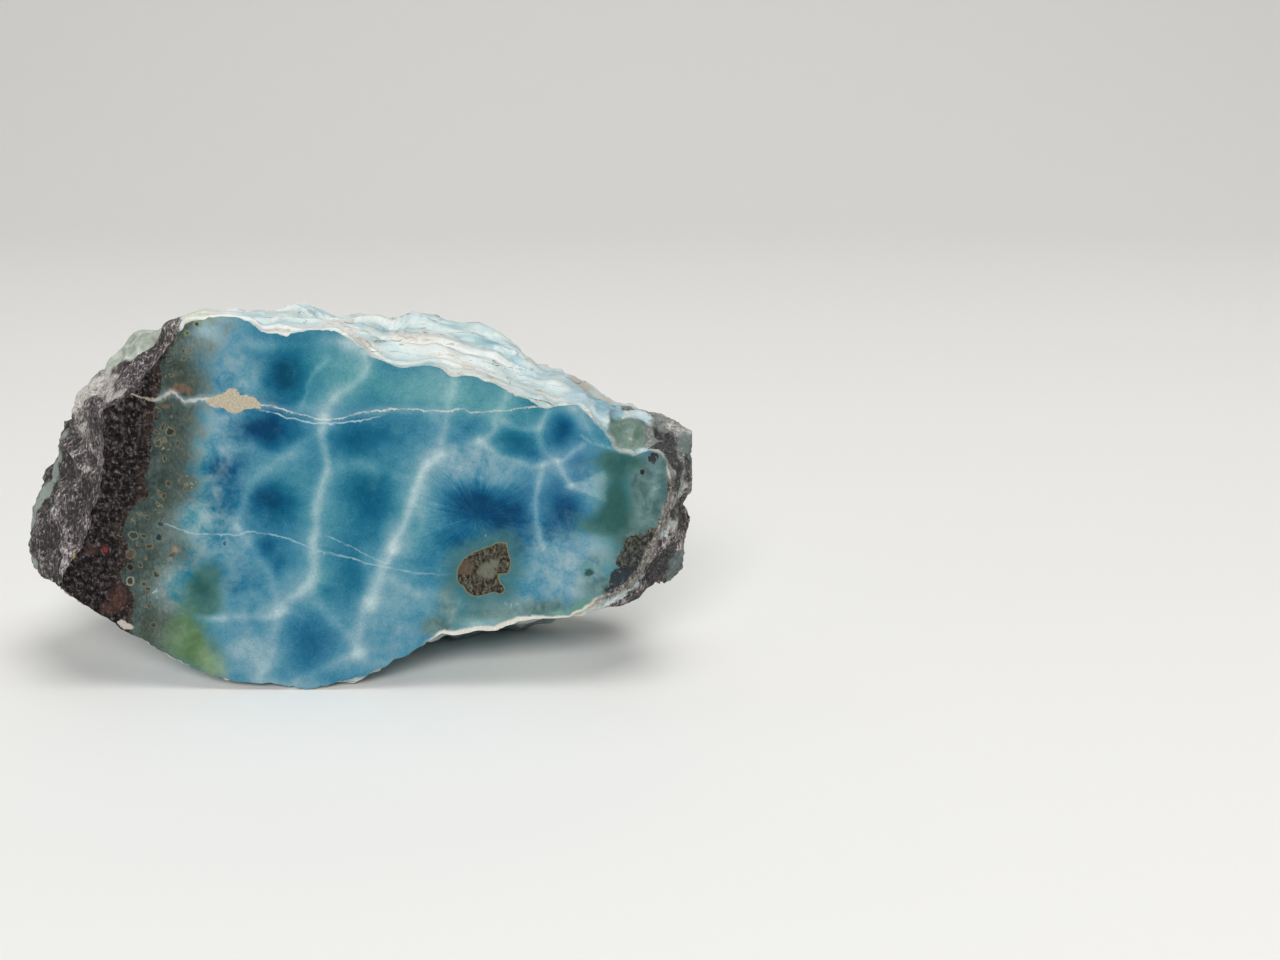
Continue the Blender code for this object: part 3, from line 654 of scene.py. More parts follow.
        (-32.6, 42.5), (-33.6, 38), (-34.2, 35), (-36.8, 32), (-38, 29.5), (-38.2, 26), (-37.4, 23.4),
        (-37.8, 20.6), (-37.3, 16.3), (-38.2, 12.6), (-39.5, 4),
    ),
    "rightBasalt": (
        (57, 60), (56.5, 47), (54.8, 40), (54.4, 34), (53, 28), (50.6, 23.6), (47, 17), (42.5, 14), (40, 8),
    ),
    # broken skin
    "iceHollow": (
        (5, 15, 60.7, 4.5, 0.9), (12.7, 17, 60, 4.5, 0.9), (23, 17, 58, 4.5, 0.7), (27.5, 16, 57, 3, 0.7),
        (-10, 8, 63, 3, 0.4), (31.4, 2, 51.7, 1.6, 1), (-22, 38, 48, 9, 0.6), (10, 44, 52, 8, 0.5),
        (34, 36, 30, 9, 0.5),
    ),
    "tan": (
        (35, 15, 53.4, 2.2, 0.9), (39, 14, 51.6, 2.4, 1), (43, 13, 49.5, 2.4, 1), (34.9, 2, 50.9, 1.1, 1.1),
        (3, 3, 60, 1.8, 0.9), (20, 3, 55.4, 1.6, 0.8), (-2, 18, 61, 2.4, 0.8), (24, 2, 54, 1.3, 0.7),
        (30, 24, 54, 3, 0.5),
    ),
    "steel": ((36.5, 4.5, 52.6, 2.6, 1), (39.5, 5, 50.8, 2.6, 1), (31.7, 11.6, 52, 2, 1)),
    "chipBlue": ((42.6, 5.6, 47.6, 2.4, 1.1), (43.9, 7.6, 47, 2.4, 1.1), (42, 8.5, 48.4, 2, 0.9)),
    "sage": (
        (46.2, 3.4, 43.8, 2.6, 1.2), (48, 4.8, 44.6, 2.6, 1.2), (44.6, 3.4, 44.8, 2, 1),
        (49.6, 4.6, 43.6, 1.8, 0.8),
    ),
    "rockGrey": (
        (50.6, 12.6, 45.6, 2.6, 1), (53, 13.8, 45, 2.8, 1.1), (53.9, 8.5, 43, 2.4, 1),
        (55.6, 10.3, 43.5, 2.6, 1), (51.6, 6, 44.4, 2, 0.8), (53.4, 2.2, 41.2, 2.4, 1.2),
        (54.8, 2.6, 38.4, 2.2, 1.2), (51.6, 3.4, 42.8, 1.6, 1), (54.4, 4, 34.6, 2.4, 1.1),
        (54.6, 3.6, 30.4, 2.6, 1.1), (56, 14, 19, 3.4, 1.2), (48, 14, 47, 2.4, 0.8), (57.4, 12, 43, 3, 1.2),
        (54.6, 17, 44, 4, 1.2), (56, 8, 41, 2, 0.8),
    ),
    "rockBlack": (
        (52.6, 7.4, 43.4, 1.9, 1.2), (54, 6.4, 42.8, 1.5, 1), (53.6, 3.6, 41.8, 1.4, 1),
        (55.2, 2.6, 37.4, 1, 0.9), (54.3, 1.6, 40.8, 1.6, 1.2), (55, 3, 31, 1.7, 1.1),
        (52.6, 1.2, 42, 1.1, 0.9), (52.2, 2.6, 42.6, 1.2, 1.1), (51.2, 1.4, 43, 0.9, 0.9),
        (54.5, 2.2, 40, 1.2, 1.1), (55.2, 4, 38.6, 1.2, 1), (54.9, 3, 35.4, 1.3, 1.1),
        (55.8, 7, 28.5, 2.3, 1.2), (55.6, 8, 32.6, 1.2, 0.7), (53.9, 6.4, 23, 2, 1.2),
        (52.6, 6.4, 19.6, 2, 1.1), (49.6, 6.5, 15.6, 1.5, 0.9), (58, 18, 30, 5, 0.6),
        (55.4, 22, 24, 5, 0.6),
    ),
    "endWhite": (
        (-43.8, 12.5, 50, 2.4, 0.9), (-48, 17.6, 47.4, 3.2, 1), (-41, 10.6, 51.2, 2.2, 0.9),
        (-46, 15, 49.6, 2.6, 0.7), (-46.4, 10.4, 43.4, 2.2, 0.45), (-48.8, 13, 42.4, 2.2, 0.3),
        (57, 9, 43, 2, 0.9), (54, 10.4, 44.8, 1.4, 0.6), (-37.6, 4.4, 51.4, 2, 1.1),
        (-39.8, 6.4, 50.4, 1.6, 0.8), (-45.6, 14, 48, 2.6, 0.6),
    ),
    "endTeal": (
        (57, 8.4, 41.4, 2.4, 1.1), (57.4, 9, 38, 2.6, 1.2), (57, 8.6, 34.6, 2, 0.9),
        (55.6, 9, 20.6, 2.2, 1.2), (54.6, 8.6, 17.6, 1.6, 1),
    ),
    "endSmooth": (
        (-51.6, 16.6, 40.6, 1.4, 1), (-53, 16.8, 37.4, 1.5, 1.1), (-54.6, 17.2, 34, 1.6, 1.1),
        (-56.2, 17.4, 30.8, 1.6, 1.1), (-57.4, 17, 27.8, 1.5, 1), (-58.2, 16.2, 25, 1.4, 0.9),
        (-58.6, 15.2, 22, 1.3, 0.7), (-58, 13, 18.2, 1.9, 1), (-57, 12, 16.8, 1.6, 0.9),
    ),
    "rockBrown": (
        (-35, 6, 54.4, 3.6, 1.1), (-31.6, 5, 58.2, 3, 1.1), (-37.6, 8, 52, 2.6, 0.9),
        (-28.6, 3, 62, 2, 0.9), (-44, 5, 30, 3, 0.6), (-47, 5, 24, 3, 0.6),
    ),
    "paleLump": (
        (-42.6, 17.2, 54, 2.6, 1.2), (-39.6, 16.6, 56, 3, 1.3), (-36.4, 14, 57.4, 2.8, 1.3),
        (-33.4, 11.4, 58.6, 2.4, 1.1), (-38, 18, 58.6, 3, 1.2), (-34, 15.6, 60, 2.6, 1.1),
        (-41, 24, 54, 5, 1),
    ),
}


# a smooth path through points, eight steps from each to the next
def smoothPath(points, closed=False):
    points = np.array(points, float)
    if closed:
        points = np.concatenate((points[-1:], points, points[:2]))
    else:
        points = np.concatenate((2 * points[:1] - points[1:2], points, 2 * points[-1:] - points[-2:-1]))
    t = np.arange(8)[:, None] / 8
    around = [points[step:len(points) - 3 + step, None] for step in range(4)]
    path = cubicBetween(t, around, 0.5).reshape(-1, 2)
    return path if closed else np.concatenate((path, points[-2:-1]))


# the sum of amount * exp(-(dx / reach)² - (dz / reach)²) over soft marks
def softMarks(marks, x, z):
    total = 0
    for markX, markZ, reachX, reachZ, amount in marks:
        total = total + amount * np.exp(-(((x - markX) / reachX) ** 2) - ((z - markZ) / reachZ) ** 2)
    return total


# the least distance from each point to a path's close-set points
def distanceTo(path, x, z):
    return np.hypot(x[:, None] - path[:, 0], z[:, None] - path[:, 1]).min(axis=1)


# distance to a closed outline, above 0 inside, where a line towards +X crosses it an odd number of times
def depthInside(outline, x, z):
    path = smoothPath(outline, closed=True)
    after = np.roll(path, -1, axis=0)
    spans = (path[:, 1] > z[:, None]) != (after[:, 1] > z[:, None])
    rise = np.where(after[:, 1] == path[:, 1], 1, after[:, 1] - path[:, 1])
    crossing = path[:, 0] + (z[:, None] - path[:, 1]) * (after[:, 0] - path[:, 0]) / rise
    inside = (spans & (x[:, None] < crossing)).sum(axis=1) % 2 == 1
    return np.where(inside, 1, -1) * distanceTo(path, x, z)


# height above a path that runs from left to right
def offsetFrom(points, x, z):
    path = smoothPath(points)
    return z - np.interp(x, path[:, 0], path[:, 1])


# how far left or right of a path that runs from the top down
def besidePath(points, x, z):
    path = smoothPath(points)[::-1]
    return x - np.interp(z, path[:, 1], path[:, 0])


# how white the net is: each vein is a narrow core and a wide haze, and together they stay under 1
def netGlow(x, z, wander):
    dark = 1
    for halfWidth, strength, points in pattern["net"]:
        distance = distanceTo(smoothPath(points), x, z)
        width = halfWidth * (1 + pattern["widthWander"] * wander)
        core = np.exp(-((distance / width) ** 2))
        haze = np.exp(-((distance / (pattern["hazeReach"] * width)) ** pattern["hazePower"]))
        coreShare = strength * (pattern["coreShare"] + pattern["coreWander"] * wander)
        dark = dark * (1 - coreShare * core - strength * pattern["hazeShare"] * haze)
    return 1 - dark * (1 - softMarks(pattern["netKnots"], x, z))


# a stretch of the rim, from its start along X to its end along X or Z
def rimStretch(name, along):
    most, start, end = pattern[name]
    return most * smoothStep(places[:, 0], *start) * (1 - smoothStep(along, *end))


# writes every field of the pattern on the mesh, one number for each point
def addPattern(mesh):
    straightX, depth, straightZ = places.T
    x, z = straightX.copy(), straightZ.copy()
    for seed, (height, spacing) in enumerate(pattern["warp"]):
        x += height * noise(places, spacing, 61 + 2 * seed)
        z += height * noise(places, spacing, 62 + 2 * seed)
    deep = smoothStep(depth, *pattern["deepFrom"])
    height, spacing = pattern["deepBend"]
    x += depth * pattern["shearX"] + deep * height * noise(places, spacing, 66)
    z += depth * pattern["shearZ"] + deep * height * noise(places, spacing, 67)

    glow = netGlow(x, z, noise(places, pattern["netWander"], 68))
    paleness = pattern["basePaleness"] + softMarks(pattern["hazes"], x, z)
    paleness = np.clip(paleness - softMarks(pattern["darkCells"], x, z), *pattern["palenessRange"])
    fields = {"paleness": paleness + (1 - paleness) * glow * (1 - pattern["deepGlowLoss"] * deep)}
    for name in ("cloudy", "teal", "cornflower", "greyTeal", "greenTone", "flecks", "margin"):
        fields[name] = softMarks(pattern[name], x, z)
    fields["green"] = softMarks(pattern["green"], x, z) - pattern["greenGlowLoss"] * glow
    for name in ("blackRight", "brownRight", "redBrown", "endFleck", "marginBrown", "marginPale", "coils"):
        fields[name] = softMarks(pattern[name], straightX, straightZ)
    for name in ("inclusion", "olive", "triangle", "lens", "creamBlob"):
        fields[name + "Depth"] = depthInside(pattern[name], straightX, straightZ)
    for name in ("cream", "braid", "pale", "strand"):
        fields[name + "Offset"] = offsetFrom(pattern[name], straightX, straightZ)
    onSkin = (
        "iceHollow", "tan", "steel", "chipBlue", "sage", "rockGrey", "rockBlack", "endWhite", "endSmooth",
        "endTeal", "rockBrown", "paleLump",
    )
    for name in onSkin:
        fields[name] = ballMarks(pattern[name], places)

    for seed, (name, side) in enumerate((("leftBasalt", -1), ("rightBasalt", 1)), 69):
        (height, spacing), (deepHeight, deepSpacing) = pattern[name + "Rough"]
        rough = height * noise(places, spacing, seed)
        rough += deep * deepHeight * noise(places, deepSpacing, seed + 2)
        rough += side * besidePath(pattern[name], straightX, straightZ)
        fields[name + "Depth"] = rough - pattern[name + "Slant"] * depth
    widths = np.array(pattern["creamWidth"])
    fields["creamWidth"] = np.interp(straightX, widths[:, 0], widths[:, 1])
    for name, (fromX, fullFrom, fullTo, toX, most) in pattern["veinSpans"].items():
        begun, ended = smoothStep(straightX, fromX, fullFrom), smoothStep(straightX, fullTo, toX)
        fields[name + "Share"] = begun * (1 - ended) * most

    # distance to the sawn rim, and where a crust runs along it: all of the lower right and the right end
    toRim = np.full(len(places), 99.0)
    rim = skin[0][:, [0, 2]]
    for chunk in np.array_split(np.flatnonzero(depth < pattern["rimReach"]), 20):
        toRim[chunk] = np.hypot(*(places[chunk][:, None, [0, 2]] - rim).transpose(2, 0, 1)).min(axis=1)
    fields["toRim"] = toRim
    lowRight = 1 - smoothStep(straightZ, *pattern["lowCrustToZ"])
    chipCrust, chipX, chipZ = pattern["chipCrust"]
    chipEdge = chipCrust * smoothStep(straightX, *chipX) * smoothStep(straightZ, *chipZ)
    crusted = np.maximum(np.maximum(lowRight, rimStretch("endCrust", straightZ)), chipEdge)
    fields["rimCrust"] = smoothStep(straightX, *pattern["crustFromX"]) * crusted
    fields["rimWidth"] = pattern["rimWidth"] + rimStretch("widerBelow", straightX)
    fields["rimWidth"] += rimStretch("widerRight", straightZ)
    # a band of light grey rock along the rim of the right end, on the face and on the skin
    fields["rimGrey"] = rimStretch("rimGrey", straightZ)
    padding = (0, len(places) - skinUsed)
    # ridge, the relief's height, and riser later put painted highlight and painted shade into the broken
    # skin's colour
    for name, values in (("ridge", relief + 2 * fineRelief), ("fromRim", fromRim), ("riser", riser)):
        fields[name] = np.pad(values.reshape(-1)[:skinUsed], padding)
    for name, values in fields.items():
        attribute = mesh.attributes.new(name, "FLOAT", "POINT")
        attribute.data.foreach_set("value", np.asarray(values, np.float32))
    print("stone: pattern ready,", len(fields), "fields")


addPattern(larimarStone.data)


# sRGB hex to the linear colour that shaders use
def fromHex(code):
    channels = np.array([int(code[start:start + 2], 16) for start in (1, 3, 5)]) / 255
    linear = np.where(channels <= 0.04045, channels / 12.92, ((channels + 0.055) / 1.055) ** 2.4)
    return (*linear.tolist(), 1)


# settings that many nodes share
times, timesPlus = {"operation": "MULTIPLY"}, {"operation": "MULTIPLY_ADD"}
plus, minus, larger = {"operation": "ADD"}, {"operation": "SUBTRACT"}, {"operation": "MAXIMUM"}
soft = {"interpolation_type": "SMOOTHSTEP"}
colours = {"data_type": "RGBA"}


# adds one shader node and gives back one of its outputs: settings are set by name, the node's open inputs
# take the values or outputs in their order, None leaves an input as it is, text is a colour, and stops fill
# a colour ramp
def addNode(tree, kind, *inputs, output=None, stops=(), **settings):
    node = tree.nodes.new("ShaderNode" + kind)
    for name, value in settings.items():
        setattr(node, name, value)
    for socket, value in zip([socket for socket in node.inputs if socket.enabled], inputs):
        if isinstance(value, bpy.types.NodeSocket):
            tree.links.new(value, socket)
        elif value is not None:
            socket.default_value = fromHex(value) if isinstance(value, str) else value
    for number, (position, code) in enumerate(stops):
        elements = node.color_ramp.elements
        element = elements[number] if number < len(elements) else elements.new(position)
        element.position, element.color = position, fromHex(code)
    return node.outputs[output] if output else next(socket for socket in node.outputs if socket.enabled)


# a start plus every term's output times its weight
def weightedSum(add, start, *terms):
    for output, weight in terms:
        start = add("Math", output, weight, start, **timesPlus)
    return start


# the share of a patch with ragged edges: a weighted sum that rises softly from 0 at low to most at high
def patchShare(add, low, high, most, start, *terms):
    return add("MapRange", weightedSum(add, start, *terms), low, high, 0, most, **soft)


# two tones of one stuff, dark where the tone is 0 and light where it's 1, laid over a colour by their share
def layerTones(add, share, under, tone, dark, light):
    return add("Mix", share, under, add("Mix", tone, dark, light, **colours), **colours)


# a new material: its place in millimetres, the named fields of the mesh, and the functions that add to it
def newMaterial(name, fieldNames):
    material = bpy.data.materials.new(name)
    material.use_nodes = True
    add = partial(addNode, material.node_tree)
    place = add(
        "Mapping", add("TexCoord", output="Object"), (*stone["footprintMiddle"], 0), None, (1 / mm,) * 3,
    )
    field = {name: add("Attribute", attribute_name=name, output="Fac") for name in fieldNames}
    tools = [partial(tool, add) for tool in (weightedSum, patchShare, layerTones)]
    return material, place, field, add, *tools


def linkShader(material, specular, outputs):
    shader = material.node_tree.nodes["Principled BSDF"]
    for name, output in outputs.items():
        material.node_tree.links.new(output, shader.inputs[name])
    shader.inputs["IOR"].default_value = looks["indexOfRefraction"]
    shader.inputs["Specular IOR Level"].default_value = specular
    return material


looks = {
    "indexOfRefraction": 1.6,
    # blue pectolite, from the darkest cell to the white of the net
    "blue": (
        (0.02, "#00375a"), (0.15, "#044b6f"), (0.3, "#1a5f7e"), (0.42, "#31708b"), (0.55, "#4b8398"),
        (0.7, "#7196a4"), (0.85, "#97b1b8"), (1, "#c2d0d2"),
    ),
    "teal": (
        (0.02, "#024359"), (0.15, "#0a5870"), (0.3, "#1f6b7f"), (0.42, "#3a7d8b"), (0.55, "#568f97"),
        (0.7, "#7aa4a8"), (0.85, "#9fbbbb"), (1, "#c6d4d3"),
    ),
    "cornflower": (
        (0.02, "#1a4368"), (0.15, "#265579"), (0.3, "#386889"), (0.42, "#4c7a96"), (0.55, "#638ca3"),
        (0.7, "#82a0af"), (0.85, "#a2b6bf"), (1, "#c7d2d6"),
    ),
    "green": ((0.05, "#1b3b3a"), (0.3, "#2a534e"), (0.5, "#47706b"), (0.7, "#6f918c"), (0.95, "#a5bbb2")),
    "olive": ((0.1, "#29432b"), (0.36, "#466039"), (0.5, "#58744b"), (0.66, "#788f6c"), (0.95, "#a9b8a0")),
    "greyTeal": ((0.25, "#2b4143"), (0.45, "#486361"), (0.6, "#66817f"), (0.8, "#97acaa")),
    "margin": (
        (0.25, "#191a15"), (0.4, "#2f342d"), (0.52, "#454e47"), (0.64, "#5d6b67"), (0.8, "#7d908e"),
        (0.95, "#a0b1b0"),
    ),
    "basalt": (
        (0.38, "#060505"), (0.47, "#141112"), (0.53, "#2b2627"), (0.59, "#4c4646"), (0.67, "#817a77"),
    ),
    "roughBasalt": (
        (0.38, "#151213"), (0.47, "#302b2c"), (0.53, "#5c5454"), (0.6, "#9b9391"), (0.7, "#d3cdc9"),
    ),
    "cream": ((0.34, "#8d7a62"), (0.45, "#b5a68f"), (0.56, "#c9c3b5"), (0.75, "#d6d8d2")),
    "inclusion": (
        (0.34, "#191714"), (0.43, "#312d26"), (0.52, "#4a463c"), (0.62, "#625f53"), (0.76, "#888371"),
    ),
    "bandRock": ((0.36, "#1b1918"), (0.44, "#4b4743"), (0.51, "#77726b"), (0.62, "#a8a298")),
    "creamBlob": ((0.36, "#7a6d5b"), (0.43, "#a29782"), (0.51, "#b1a894"), (0.62, "#c0b9a9")),
    "rock": ((0.3, "#545a57"), (0.45, "#7e847f"), (0.58, "#a0a49d"), (0.74, "#c6c7be")),
    # the broken skin: icy stone, crust, and rock of the ends
    "ice": (
        (0.3, "#7ba3b0"), (0.43, "#99b9c2"), (0.54, "#b1c8cc"), (0.66, "#c3d0cf"), (0.8, "#d2d7d3"),
        (0.95, "#e2e3de"),
    ),
    "iceTeal": (
        (0.3, "#7aa3a8"), (0.48, "#9fbcbd"), (0.64, "#bdcdca"), (0.8, "#d0d8d3"), (0.95, "#e1e4df"),
    ),
    "iceGreen": ((0.3, "#5d7d70"), (0.5, "#8ba590"), (0.7, "#b4c2ae"), (0.9, "#d5dccd")),
    "crust": (
        (0.34, "#6f5d49"), (0.41, "#a2917a"), (0.48, "#c3b9a8"), (0.58, "#d3cdc1"), (0.72, "#e0ddd5"),
    ),
    "brownRock": (
        (0.38, "#1d1718"), (0.47, "#352b2c"), (0.54, "#5d5153"), (0.6, "#a0989a"), (0.7, "#cfcac9"),
    ),
    "whiteRock": ((0.34, "#807a76"), (0.44, "#b5afa9"), (0.58, "#d8d4ce"), (0.74, "#ebe8e4")),
    "paleLump": ((0.32, "#8b968a"), (0.5, "#aeb6aa"), (0.68, "#cfd2c6")),
    "blackRock": ((0.4, "#121213"), (0.52, "#2a292b"), (0.62, "#5f5c5b"), (0.72, "#9b9790")),
}

# small round marks on the sawn face: X, Z, radius, colour inside, colour of the ring round it
spots = (
    (49.1, 38.8, 0.5, "#15171a", "#5d6b69"), (39.8, 22, 1.2, "#4f7d80", "#6d9aa0"),
    (40.3, 21.3, 0.6, "#2c4844", "#42696a"), (-36.3, 27.7, 0.6, "#2c3333", "#7d826f"),
    (-32, 27.5, 0.55, "#1b272b", "#56655f"), (-31.6, 29.7, 0.4, "#27363a", "#5f6f68"),
    (-37, 24.5, 0.7, "#272521", "#6f6653"), (-37.4, 19.5, 0.55, "#252523", "#a09b8b"),
    (-29.3, 25.4, 0.4, "#927a5e", "#7b745f"), (-28.9, 45.6, 0.5, "#23241f", "#6b6957"),
    (-31, 43.6, 0.45, "#3a3f36", "#777463"), (-41.2, 25.2, 0.4, "#7a3126", "#46262a"),
    (-46.6, 24.1, 0.35, "#a9954a", "#5d5637"), (-23.3, 63.6, 0.3, "#23291f", "#7d8a66"),
    (-21.1, 26.4, 0.25, "#2b5569", "#6b93a6"), (51.2, 24.6, 0.4, "#1d1c1a", "#4c4944"),
    (-37.2, 22.2, 0.45, "#171614", "#59554a"), (-25, 62.2, 0.25, "#2c2c22", "#7d8a66"),
)

# greenish and brown patches of the round inclusion: X, Z, radius, colour
inclusionPatches = (
    (22.9, 21.6, 1.5, "#6c7063"), (24.3, 22.8, 0.9, "#6c7063"), (19.3, 22.2, 1.5, "#5d4c3f"),
)


# Pectolite sawn with a diamond blade and left satin, with its basalt wall rock: a soft white net over deep
# blue that looks lit from within, fine fibres that fan out from the cells, and dull specks in the basalt.
def sawnLarimar():
    material, place, field, add, total, patch, layer = newMaterial(
        "sawnPectoliteSatin",
        (
            "paleness", "cloudy", "teal", "cornflower", "green", "greenTone", "greyTeal", "flecks",
            "leftBasaltDepth", "rightBasaltDepth", "blackRight", "brownRight", "redBrown", "endFleck",
            "inclusionDepth", "oliveDepth", "triangleDepth", "lensDepth", "margin", "marginBrown",
            "marginPale", "coils", "rimGrey", "creamBlobDepth", "creamOffset", "creamWidth", "braidOffset",
            "braidShare", "paleOffset", "paleShare", "strandOffset", "strandShare", "toRim", "rimCrust",
            "rimWidth",
        ),
    )
    cloud = add("TexNoise", place, 0.16, 4, 0.55, 2.1)
    wisp = add("TexNoise", place, 0.34, 7, 0.64, 2.2, 0.35)
    mottle = add("TexNoise", place, 0.55, 5, 0.62, 2, 0.4)
    grain = add("TexNoise", place, 2.6, 4, 0.66)
    coarse = add("TexNoise", place, 1.05, 4, 0.66, 2.1, 0.5)
    dust = add("TexNoise", add("VectorMath", place, (1.25, 1, 0.8), **times), 1.5, 5, 0.74)
    shard = add("TexNoise", add("VectorMath", place, (1.3, 1, 0.95), **times), 1.5, 3, 0.55, 2, 0.3)

    # fibres: noise read along the direction from each centre, so that it's the same all the way out
    fibres = 0
    for number, (x, z, reach, strength) in enumerate(pattern["fibreCentres"]):
        out = add("VectorMath", place, (x, 0, z), **minus)
        radius = add("VectorMath", out, operation="LENGTH", output="Value")
        along = add("CombineXYZ", number * 9.7, add("Math", radius, 0.22, **times), 0)
        way = add("VectorMath", out, operation="NORMALIZE")
        turned = add("VectorMath", way, (17, 17, 17), along, **timesPlus)
        streak = add("Math", add("TexNoise", turned, 1, 3, 0.6), 0.5, **minus)
        near = add("MapRange", radius, reach * 0.2, reach, strength, 0, **soft)
        fibres = add("Math", streak, near, fibres, **timesPlus)

    # how pale the blue is: the pattern, then clouds that are strong where the pattern is cloudy
    cloudy = add("MapRange", field["cloudy"], 0, 1, 0.14, 0.62)
    tone = total(
        field["paleness"], (cloud, 0.2), (add("Math", wisp, 0.5, **minus), cloudy), (mottle, 0.24),
        (grain, 0.3),
    )
    triangle = patch(0.3, 1.2, 0.2, field["triangleDepth"], (mottle, 1.2))
    for more, operation in ((fibres, plus), (triangle, plus), (0.37, minus)):
        tone = add("Math", tone, more, **operation)

    colour = add("ValToRGB", tone, stops=looks["blue"])
    for name in ("teal", "cornflower"):
        colour = add("Mix", field[name], colour, add("ValToRGB", tone, stops=looks[name]), **colours)
    greyTone = total(-0.02, (tone, 0.3), (wisp, 0.75))
    # clouds are greyer than the clear stone
    mist = add("Math", add("MapRange", wisp, 0.34, 0.74, 0, 0.55, **soft), field["cloudy"], **times)
    colour = layer(mist, colour, tone, "#4e727d", "#a9bbc0")
    greyShare = patch(0.6, 1.2, 0.95, field["greyTeal"], (wisp, 0.9))
    colour = add("Mix", greyShare, colour, add("ValToRGB", greyTone, stops=looks["greyTeal"]), **colours)

    # green stone: soft patches, then the olive one low on the left and the small lens low on the right
    greenTone = total(add("Math", field["greenTone"], 0.24, **plus), (wisp, 0.45))
    oliveDepth = add("Math", total(-1.3, (mottle, 2.6)), field["oliveDepth"], **plus)
    greenShare = patch(0.55, 1.35, 0.94, field["green"], (wisp, 1.1))
    for name, share in (("green", greenShare), ("olive", patch(-1.6, 3, 0.94, oliveDepth))):
        colour = add("Mix", share, colour, add("ValToRGB", greenTone, stops=looks[name]), **colours)
    lens = add("MapRange", field["lensDepth"], -0.1, 0.12, 0, 0.85, **soft)
    colour = layer(lens, colour, grain, "#4f7a6c", "#6d9486")

    # grey-green reaction zone beside the basalt, with tan-ringed gas holes
    ragged = total(-2.05, (grain, 0.9), (mottle, 3.2))
    leftDepth = add("Math", field["leftBasaltDepth"], ragged, **plus)
    marginDepth = total(add("Math", leftDepth, -5.5, **plus), (wisp, 11))
    marginDepth = add("Math", marginDepth, field["margin"], **plus)
    marginShare = patch(-11, -4.4, 0.94, marginDepth)
    # bluer and paler where it fades into the blue stone
    deeper = add("MapRange", marginDepth, -9, -2, 0.12, -0.03)
    marginTone = add("Math", total(add("Math", wisp, 0.55, **times), (dust, 0.45)), deeper, **plus)
    marginTone = total(marginTone, (field["marginPale"], 0.15))
    colour = add("Mix", marginShare, colour, add("ValToRGB", marginTone, stops=looks["margin"]), **colours)
    brownShare = patch(1, 1.4, 0.85, field["marginBrown"], (wisp, 1.3))
    colour = layer(brownShare, colour, dust, "#2f251f", "#86705f")
    # tan lines that coil: where a noise times four passes a whole number
    coil = add("Math", add("Math", mottle, 0.3, add("TexNoise", place, 0.8, 1), **timesPlus), 4, **times)
    coil = add("MapRange", add("Math", coil, 0.5, operation="PINGPONG"), 0.05, 0.16, 0.9, 0, **soft)
    coilZone = patch(0.75, 1.05, 1, field["coils"], (dust, 0.6))
    colour = add("Mix", add("Math", coilZone, 0.4, **times), colour, "#4d5446", **colours)
    colour = add("Mix", add("Math", coil, coilZone, **times), colour, "#8c8468", **colours)
    bent = add(
        "VectorMath", add("TexNoise", place, 0.9, 2, output="Color"), (1.6, 1.6, 1.6), place, **timesPlus,
    )
    hole = add("TexVoronoi", bent, 0.5)
    holeZone = add("MapRange", marginDepth, -5, -3.4, 0, 0.8)
    for low, high, code in ((0.24, 0.29, "#6b6857"), (0.15, 0.2, "#2b2c27")):
        share = add("Math", add("MapRange", hole, low, high, 1, 0), holeZone, **times)
        colour = add("Mix", share, colour, code, **colours)

    # halo round the inclusion, and white flecks
    halo = patch(-2.2, 1.6, 0.8, field["inclusionDepth"], (wisp, 3.4))
    colour = layer(halo, colour, wisp, "#234a51", "#507a79")
    fleck = add("MapRange", add("Math", shard, field["flecks"], **times), 0.52, 0.64, 0, 0.5)
    colour = add("Mix", fleck, colour, "#b9cccf", **colours)

    # thin pale veins, then the cream vein with its braid and blob
    wobble = total(-0.95, (grain, 0.5), (mottle, 1.4))
    thinVeins = (("strand", 0.1, "#9dbfca"), ("pale", 0.11, "#abc5cc"), ("braid", 0.1, "#aec5cb"))
    broken = add("MapRange", add("TexNoise", place, 0.45, 3), 0.4, 0.56, 0.35, 1)
    for name, width, code in thinVeins:
        distance = add("Math", total(field[name + "Offset"], (wobble, 0.8)), operation="ABSOLUTE")
        line = add("MapRange", distance, width * 0.5, width * 2.2, 1, 0, **soft)
        line = add("Math", line, add("Math", field[name + "Share"], broken, **times), **times)
        colour = add("Mix", line, colour, code, **colours)
    distance = add("Math", total(field["creamOffset"], (wobble, 0.9)), operation="ABSOLUTE")
    width = add("Math", field["creamWidth"], total(-0.75, (dust, 3.4)), **times)
    line = add("MapRange", add("Math", distance, width, **minus), -0.1, 0.14, 0.86, 0, **soft)
    cream = add("ValToRGB", total(0.1, (grain, 0.5), (mottle, 0.6)), stops=looks["cream"])
    # the vein is stained brown where it runs through the margin
    stained = add("MapRange", marginDepth, -7, -1, 0, 0.8)
    cream = layer(stained, cream, dust, "#4f4038", "#d9c9b6")
    haze = add("MapRange", distance, 0.1, 1.1, 0.3, 0, **soft)
    haze = add("Math", haze, add("MapRange", field["creamWidth"], 0.05, 0.14, 0, 1), **times)
    colour = add("Mix", haze, colour, "#a9c6cf", **colours)

